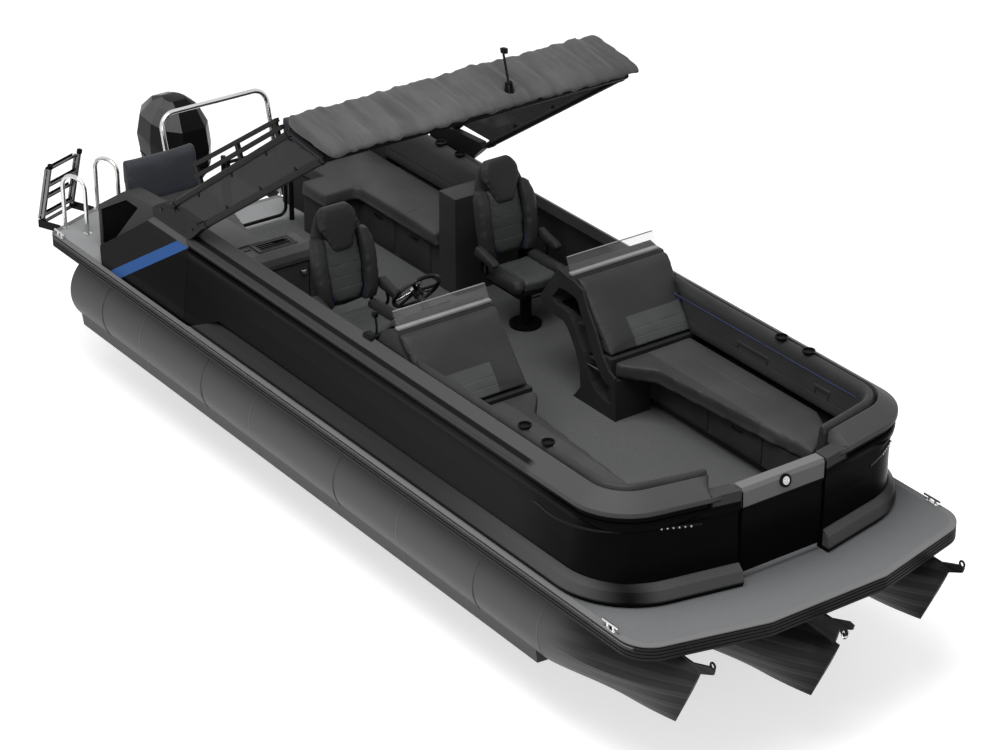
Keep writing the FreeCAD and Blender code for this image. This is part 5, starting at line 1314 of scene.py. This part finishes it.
# A ring lies in the tow eye of the middle nose, and a loop on the horn plate of each side nose.
def dressNoses():
    eye = at(*bow["eye"])
    points = [eye + Vector((math.cos(turn) * 0.026 + 0.014, math.sin(turn) * 0.010,
                            math.sin(turn) * 0.026 - 0.012)) for turn in turns(12)]
    ring = bar("towEyeRing", points, 0.0055, closed=True, smooth=True)
    finished(ring, polishedSteel, "boat", 0.0, 60)
    aft, outboard, height = bow["hornLoop"]
    reach = bow["hornRing"]
    loops = [bar("hornLoop", [at(aft - math.cos(turn) * reach, side, height + math.sin(turn) * reach)
                              for turn in turns(12)], 0.007, closed=True, smooth=True)
             for side in (-outboard, outboard)]
    fitted("hornLoops", loops, blackTube, angle=60)


cleats = {"stations": (0.490, 7.180), "side": 1.2725, "long": 0.048, "wide": 0.016, "thick": 0.006,
          "screws": 0.040}


# A bright base plate with two screws under each rope cleat.
def dressCleats():
    plates = []
    long, wide, thick = cleats["long"], cleats["wide"], cleats["thick"]
    for aft in cleats["stations"]:
        for side in (-cleats["side"], cleats["side"]):
            plates.append(block("cleatBase", at(aft + long, side - wide, 0.0),
                                at(aft - long, side + wide, thick), 0.003))
            for shift in (-cleats["screws"], cleats["screws"]):
                plates.append(turned("cleatScrew", at(aft + shift, side, thick), (0, 0, 1), 0.005, 0.003,
                                     ((0.0015, -0.001),), 12))
    fitted("cleatBases", plates, polishedSteel)


# The ladder stands on the stern's raked corner, which runs inboard from the deck's side.
ladder = {
    "corner": ((7.290, -1.295), (7.540, -0.690)), "inboard": 0.290, "behind": 0.190, "foot": -0.020,
    "rise": (0.484, 0.112), "tread": (0.158, 0.024), "treads": 4, "first": 0.060, "pitch": 0.128,
    "stagger": 0.0336, "leg": 0.1725, "capReach": 0.476, "hoop": 0.1925, "hoopLegs": (0.235, 0.445),
    "hoopScrews": (0.0, 2.1, 4.2), "screwCircle": 0.025,
}
bays = {
    "outline": ((6.786, 0.064), (6.786, 0.328), (6.402, 0.541), (6.236, 0.541), (6.698, 0.064)),
    "sides": (1.112, 1.118), "net": (6.780, 6.640, 0.070, 0.240), "netSide": 1.07, "netHalf": 0.02,
}


# Stern: treads and end caps on the ladder, hoop flanges, and near-black sheets as painted shade inside the
# open bays.
def dressStern():
    start, end = (Vector((station(aft), side, 0.0)) for aft, side in ladder["corner"])
    run = (end - start).normalized()
    outward = Vector((-run.y, run.x, 0))
    if outward.x > 0:
        outward = -outward
    foot = start + run * (ladder["inboard"] / abs(run.y)) + outward * ladder["behind"]
    foot.z = level(ladder["foot"])
    upward, inward = ladder["rise"]
    rise = (Vector((0, 0, upward)) - outward * inward).normalized()
    wide, deep = ladder["tread"]
    treads = []
    for index in range(ladder["treads"]):
        place = foot + rise * (ladder["first"] + index * ladder["pitch"])
        place = place + outward * (ladder["stagger"] * (index % 2) + 0.013)
        treads.append(slab("tread", [place - run * wide - rise * deep, place + run * wide - rise * deep,
                                     place + run * wide + rise * deep, place - run * wide + rise * deep],
                           outward * 0.008))
    finished(joined("ladderTreads", treads), rubberBlack, "boarding_ladder", 0.003)
    caps = []
    for way in (-1, 1):
        leg = foot + run * (ladder["leg"] * way)
        caps.append(turned("ladderCap", leg + rise * ladder["capReach"], rise, 0.021, 0.026,
                           ((0.006, 0.004),), 20))
        caps.append(turned("ladderKnuckle", leg - rise * 0.006, rise, 0.022, 0.034, ((0.004, 0.002),), 20))
    fitted("ladderFittings", caps, rubberBlack, "boarding_ladder")
    flanges = []
    for way in (-1, 1):
        for back in ladder["hoopLegs"]:
            place = foot + run * (ladder["hoop"] * way) - outward * back
            place.z = level(0)
            flanges.append(turned("hoopFlange", place, (0, 0, 1), 0.032, 0.008, ((0.010, 0.005),), 28))
            for angle in ladder["hoopScrews"]:
                screw = place + Vector((math.cos(angle) * ladder["screwCircle"],
                                        math.sin(angle) * ladder["screwCircle"], 0.007))
                flanges.append(turned("hoopScrew", screw, (0, 0, 1), 0.004, 0.003, ((0.001, -0.001),), 10))
    fitted("hoopFlanges", flanges, polishedSteel)
    # Painted shade: a near-black sheet inside each open bay.
    shadeSheets = [sideSlab("bayLining", bays["outline"], *sorted(way * side for side in bays["sides"]))
               for way in (-1, 1)]
    aft, fore, low, high = bays["net"]
    half = bays["netHalf"]
    nets = [block("bayNet", at(aft, side - half, low), at(fore, side + half, high), 0.006)
            for side in (-bays["netSide"], bays["netSide"])]
    finished(joined("bayLinings", shadeSheets + nets), bayBlack, "boat", 0.002)


cabinet = {
    "top": 0.622, "rim": ((4.945, -0.900), (5.078, -0.900), (5.078, -0.600), (4.945, -0.600)),
    "vents": (4.968, 4.994, 5.020, 5.046), "ventSides": (-0.868, -0.640), "front": 4.834,
    "door": ((-1.060, 0.060), (-1.060, 0.520), (-0.575, 0.520), (-0.575, 0.060)),
}


# Cabinet top: a raised rim with vent slots, a lid line and a latch.
def dressCabinet():
    low, high = cabinet["ventSides"]
    vents = [block("vent", at(aft + 0.007, low, 0.619), at(aft - 0.007, high, 0.624), 0.003)
             for aft in cabinet["vents"]]
    fitted("cabinetVents", vents, bayBlack)
    rim = bar("cabinetRim", [at(*place, cabinet["top"]) for place in cabinet["rim"]], 0.010, closed=True)
    fitted("cabinetRim", [rim], cabinetGrey)
    lines = [bar("lidLine", [at(5.021, -1.085, 0.621), at(5.021, -0.925, 0.621)], 0.004, sides=1),
             bar("doorLine", [at(cabinet["front"], *place) for place in cabinet["door"]], 0.0035, closed=True,
                 sides=1)]
    fitted("cabinetLines", lines, bayBlack)
    catch = block("cabinetCatch", at(cabinet["front"], -0.640, 0.430), at(4.822, -0.600, 0.460), 0.005, 3)
    finished(catch, polishedSteel, "boat")


dressBow()
dressNoses()
dressCleats()
dressStern()
dressCabinet()
print("bow and stern dressed")

arch = {
    "side": 1.195, "boltSide": 1.205,
    "bolts": ((5.745, 0.735), (5.560, 0.795), (5.260, 0.800), (5.330, 0.735)),
    "tubes": (((5.600, 0.815), (3.985, 1.930), 1), ((5.180, 0.815), (3.595, 1.880), -1)),
}


# Arch: bolts on the foot housings, collars where the tubes end, and the smoked panels' clips.
def dressArch():
    bolts = []
    collars = []
    clips = []
    for way in (-1, 1):
        for aft, height in arch["bolts"]:
            bolts.append(turned("archBolt", at(aft, way * arch["boltSide"], height), (0, way, 0), 0.012,
                                0.007, ((0.004, -0.002),), 16))
        for foot, top, facing in arch["tubes"]:
            low = at(foot[0], way * arch["side"], foot[1])
            high = at(top[0], way * arch["side"], top[1])
            run = (high - low).normalized()
            for reach in (0.045, (high - low).length - 0.075):
                collars.append(turned("archCollar", low + run * reach, run, 0.0285, 0.030,
                                      ((0.003, 0.003),), 24))
            for share in (0.22, 0.5, 0.78):
                middle = low + (high - low) * share + Vector((run.z, 0, -run.x)) * (0.032 * facing)
                half = Vector((0.016, 0.008, 0.016))
                clips.append(block("panelClip", middle - half, middle + half, 0.004))
    fitted("archBolts", bolts, engineGrey)
    fitted("archCollars", collars, trimBlack)
    fitted("panelClips", clips, trimBlack)


def dressMast():
    lens = turned("mastLens", at(3.660, 0.252, 2.236), (0, 0, 1), 0.0145, 0.030, ((0.003, 0.004),), 24)
    finished(lens, lampGlass, "mast", 0.0, 40)


# Engine: a black cowling whose facets turned up and to starboard towards the bow take a grey painted
# highlight, its seam, pivot caps and the propeller's nut.
def dressEngine():
    upper = welded(copyOf(nodes["engine_cowl"], "cowlShell"))
    # Painted highlight: facets facing up and to starboard, not aft, are grey.
    repaint(upper, [cowlBlack, cowlGrey],
            lambda face: int(face.normal.y < -0.15 and face.normal.z > 0.2 and face.normal.x > -0.2))
    smoothed(modify(upper, "BEVEL", width=0.012, segments=3, limit_method="ANGLE",
                    angle_limit=math.radians(8)), 30)
    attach(upper, "engine")
    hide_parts("engine_cowl")
    seam = shrunk(welded(copyOf(nodes["engine_cowl"], "cowlSeamSkin")), -0.001)
    piped("cowlSeam", seam, [((0, 0, level(0.165)), (0, 0, 1), None, ())], 0.004, bayBlack, "engine")
    bpy.data.objects.remove(seam)
    caps = []
    for way in (-1, 1):
        caps.append(turned("tiltCap", at(7.330, way * 0.080, -0.110), (0, way, 0), 0.022, 0.010,
                           ((0.006, 0.004),), 24))
        for height in (-0.24, -0.44):
            caps.append(turned("clampBolt", at(7.226, way * 0.074, height), (0, way, 0), 0.011, 0.008,
                               ((0.003, -0.002),), 12))
    fitted("clampCaps", caps, polishedSteel)
    hub = turned("propellerNut", at(7.8503, 0, -1.020), (-1, 0, 0), 0.020, 0.018, ((0.006, 0.008),), 6)
    finished(hub, polishedSteel, "prop", 0.0, 30)


dressArch()
dressMast()
dressEngine()
print("arch and engine dressed")


tubes = {"places": ((-0.979, 0.0), (0.979, 0.0), (0.0, 0.139)), "axis": 0.125, "radius": 0.2925,
         "welds": (1.9, 3.5, 5.2, 6.6)}


# Thin pieces along the hull: padded coamings inside both fences, light grey strips along the deck's sides as
# a painted highlight, and the tubes' weld lines.
def dressSides():
    coamings = []
    strips = []
    for way in (-1, 1):
        sides = sorted((way * 1.146, way * 1.156))
        coamings.append(block("coaming", at(4.600, sides[0], 0.060), at(3.340, sides[1], 0.590), 0.006))
        # Painted highlight: a light grey strip where the deck edge catches the light.
        strips.append(bar("edgeStrip", [at(7.180, way * 1.2965, -0.0185), at(0.640, way * 1.2965, -0.0185)],
                          0.0035, sides=1))
    fitted("coamingPanels", coamings, vinylDark)
    fitted("edgeStrips", strips, satinGrey)
    welds = []
    for side, drop in tubes["places"]:
        for aft in tubes["welds"]:
            points = [(station(aft), side + math.cos(turn) * tubes["radius"],
                       tubes["axis"] - drop + math.sin(turn) * tubes["radius"]) for turn in turns(16)]
            welds.append(bar("tubeWeld", points, 0.0035, closed=True, smooth=True, sides=1))
    fitted("tubeWelds", welds, tubeFinish, angle=60)


dressSides()
print("sides dressed")


def addCamera():
    data = bpy.data.cameras.new("camera")
    data.sensor_width = 36.0
    data.lens = camera["lens"]
    data.clip_end = 300.0
    eye = bpy.data.objects.new("camera", data)
    bpy.context.scene.collection.objects.link(eye)
    eye.location = camera["place"]
    look = Vector(camera["target"]) - Vector(camera["place"])
    eye.rotation_euler = look.to_track_quat("-Z", "Y").to_euler()
    bpy.context.scene.camera = eye


def addLamp(name, place, target, size, power):
    data = bpy.data.lights.new(name, "AREA")
    data.shape = "RECTANGLE"
    data.size, data.size_y = size
    data.energy = power
    lamp = bpy.data.objects.new(name, data)
    bpy.context.scene.collection.objects.link(lamp)
    lamp.location = place
    lamp.rotation_euler = (Vector(target) - Vector(place)).to_track_quat("-Z", "Y").to_euler()


# The floor and the sky are white to the eye and in reflections, and dimmer as lights.
def seenWhite(tree):
    path = tree.nodes.new("ShaderNodeLightPath")
    seen = path.outputs["Is Camera Ray"]
    for ray in ("Is Glossy Ray", "Is Transmission Ray"):
        either = tree.nodes.new("ShaderNodeMath")
        either.operation = "MAXIMUM"
        tree.links.new(seen, either.inputs[0])
        tree.links.new(path.outputs[ray], either.inputs[1])
        seen = either.outputs[0]
    return seen


def addStudio():
    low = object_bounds()[0][2]
    bpy.ops.mesh.primitive_plane_add(size=studio["floorSize"], location=(0, 0, low - studio["floorDrop"]))
    floor = bpy.context.object
    floor.name = "studioFloor"
    shader = Shader("studioFloor")
    tree = shader.tree
    glow = tree.nodes.new("ShaderNodeEmission")
    sheet = tree.nodes.new("ShaderNodeBsdfDiffuse")
    both = tree.nodes.new("ShaderNodeAddShader")
    strength = tree.nodes.new("ShaderNodeMath")
    strength.operation = "MULTIPLY"
    strength.inputs[1].default_value = studio["floorGlow"]
    sheet.inputs[0].default_value = (0.8, 0.8, 0.8, 1)
    tree.links.new(seenWhite(tree), strength.inputs[0])
    tree.links.new(strength.outputs[0], glow.inputs[1])
    tree.links.new(sheet.outputs[0], both.inputs[0])
    tree.links.new(glow.outputs[0], both.inputs[1])
    tree.links.new(both.outputs[0], shader.output.inputs[0])
    floor.data.materials.append(shader.material)
    world = bpy.data.worlds.new("studioSky")
    bpy.context.scene.world = world
    world.use_nodes = True
    ground = world.node_tree.nodes["Background"]
    mixing = world.node_tree.nodes.new("ShaderNodeMapRange")
    world.node_tree.links.new(seenWhite(world.node_tree), mixing.inputs[0])
    mixing.inputs[3].default_value = studio["skyLight"]
    mixing.inputs[4].default_value = 1.0
    ground.inputs[0].default_value = (1, 1, 1, 1)
    world.node_tree.links.new(mixing.outputs[0], ground.inputs[1])
    for name, place, size, power in studio["lamps"]:
        addLamp(name, place, studio["middle"], size, power)
    bpy.context.scene.view_settings.view_transform = "Standard"


addCamera()
addStudio()
print("camera and studio ready")

bpy.context.view_layer.update()
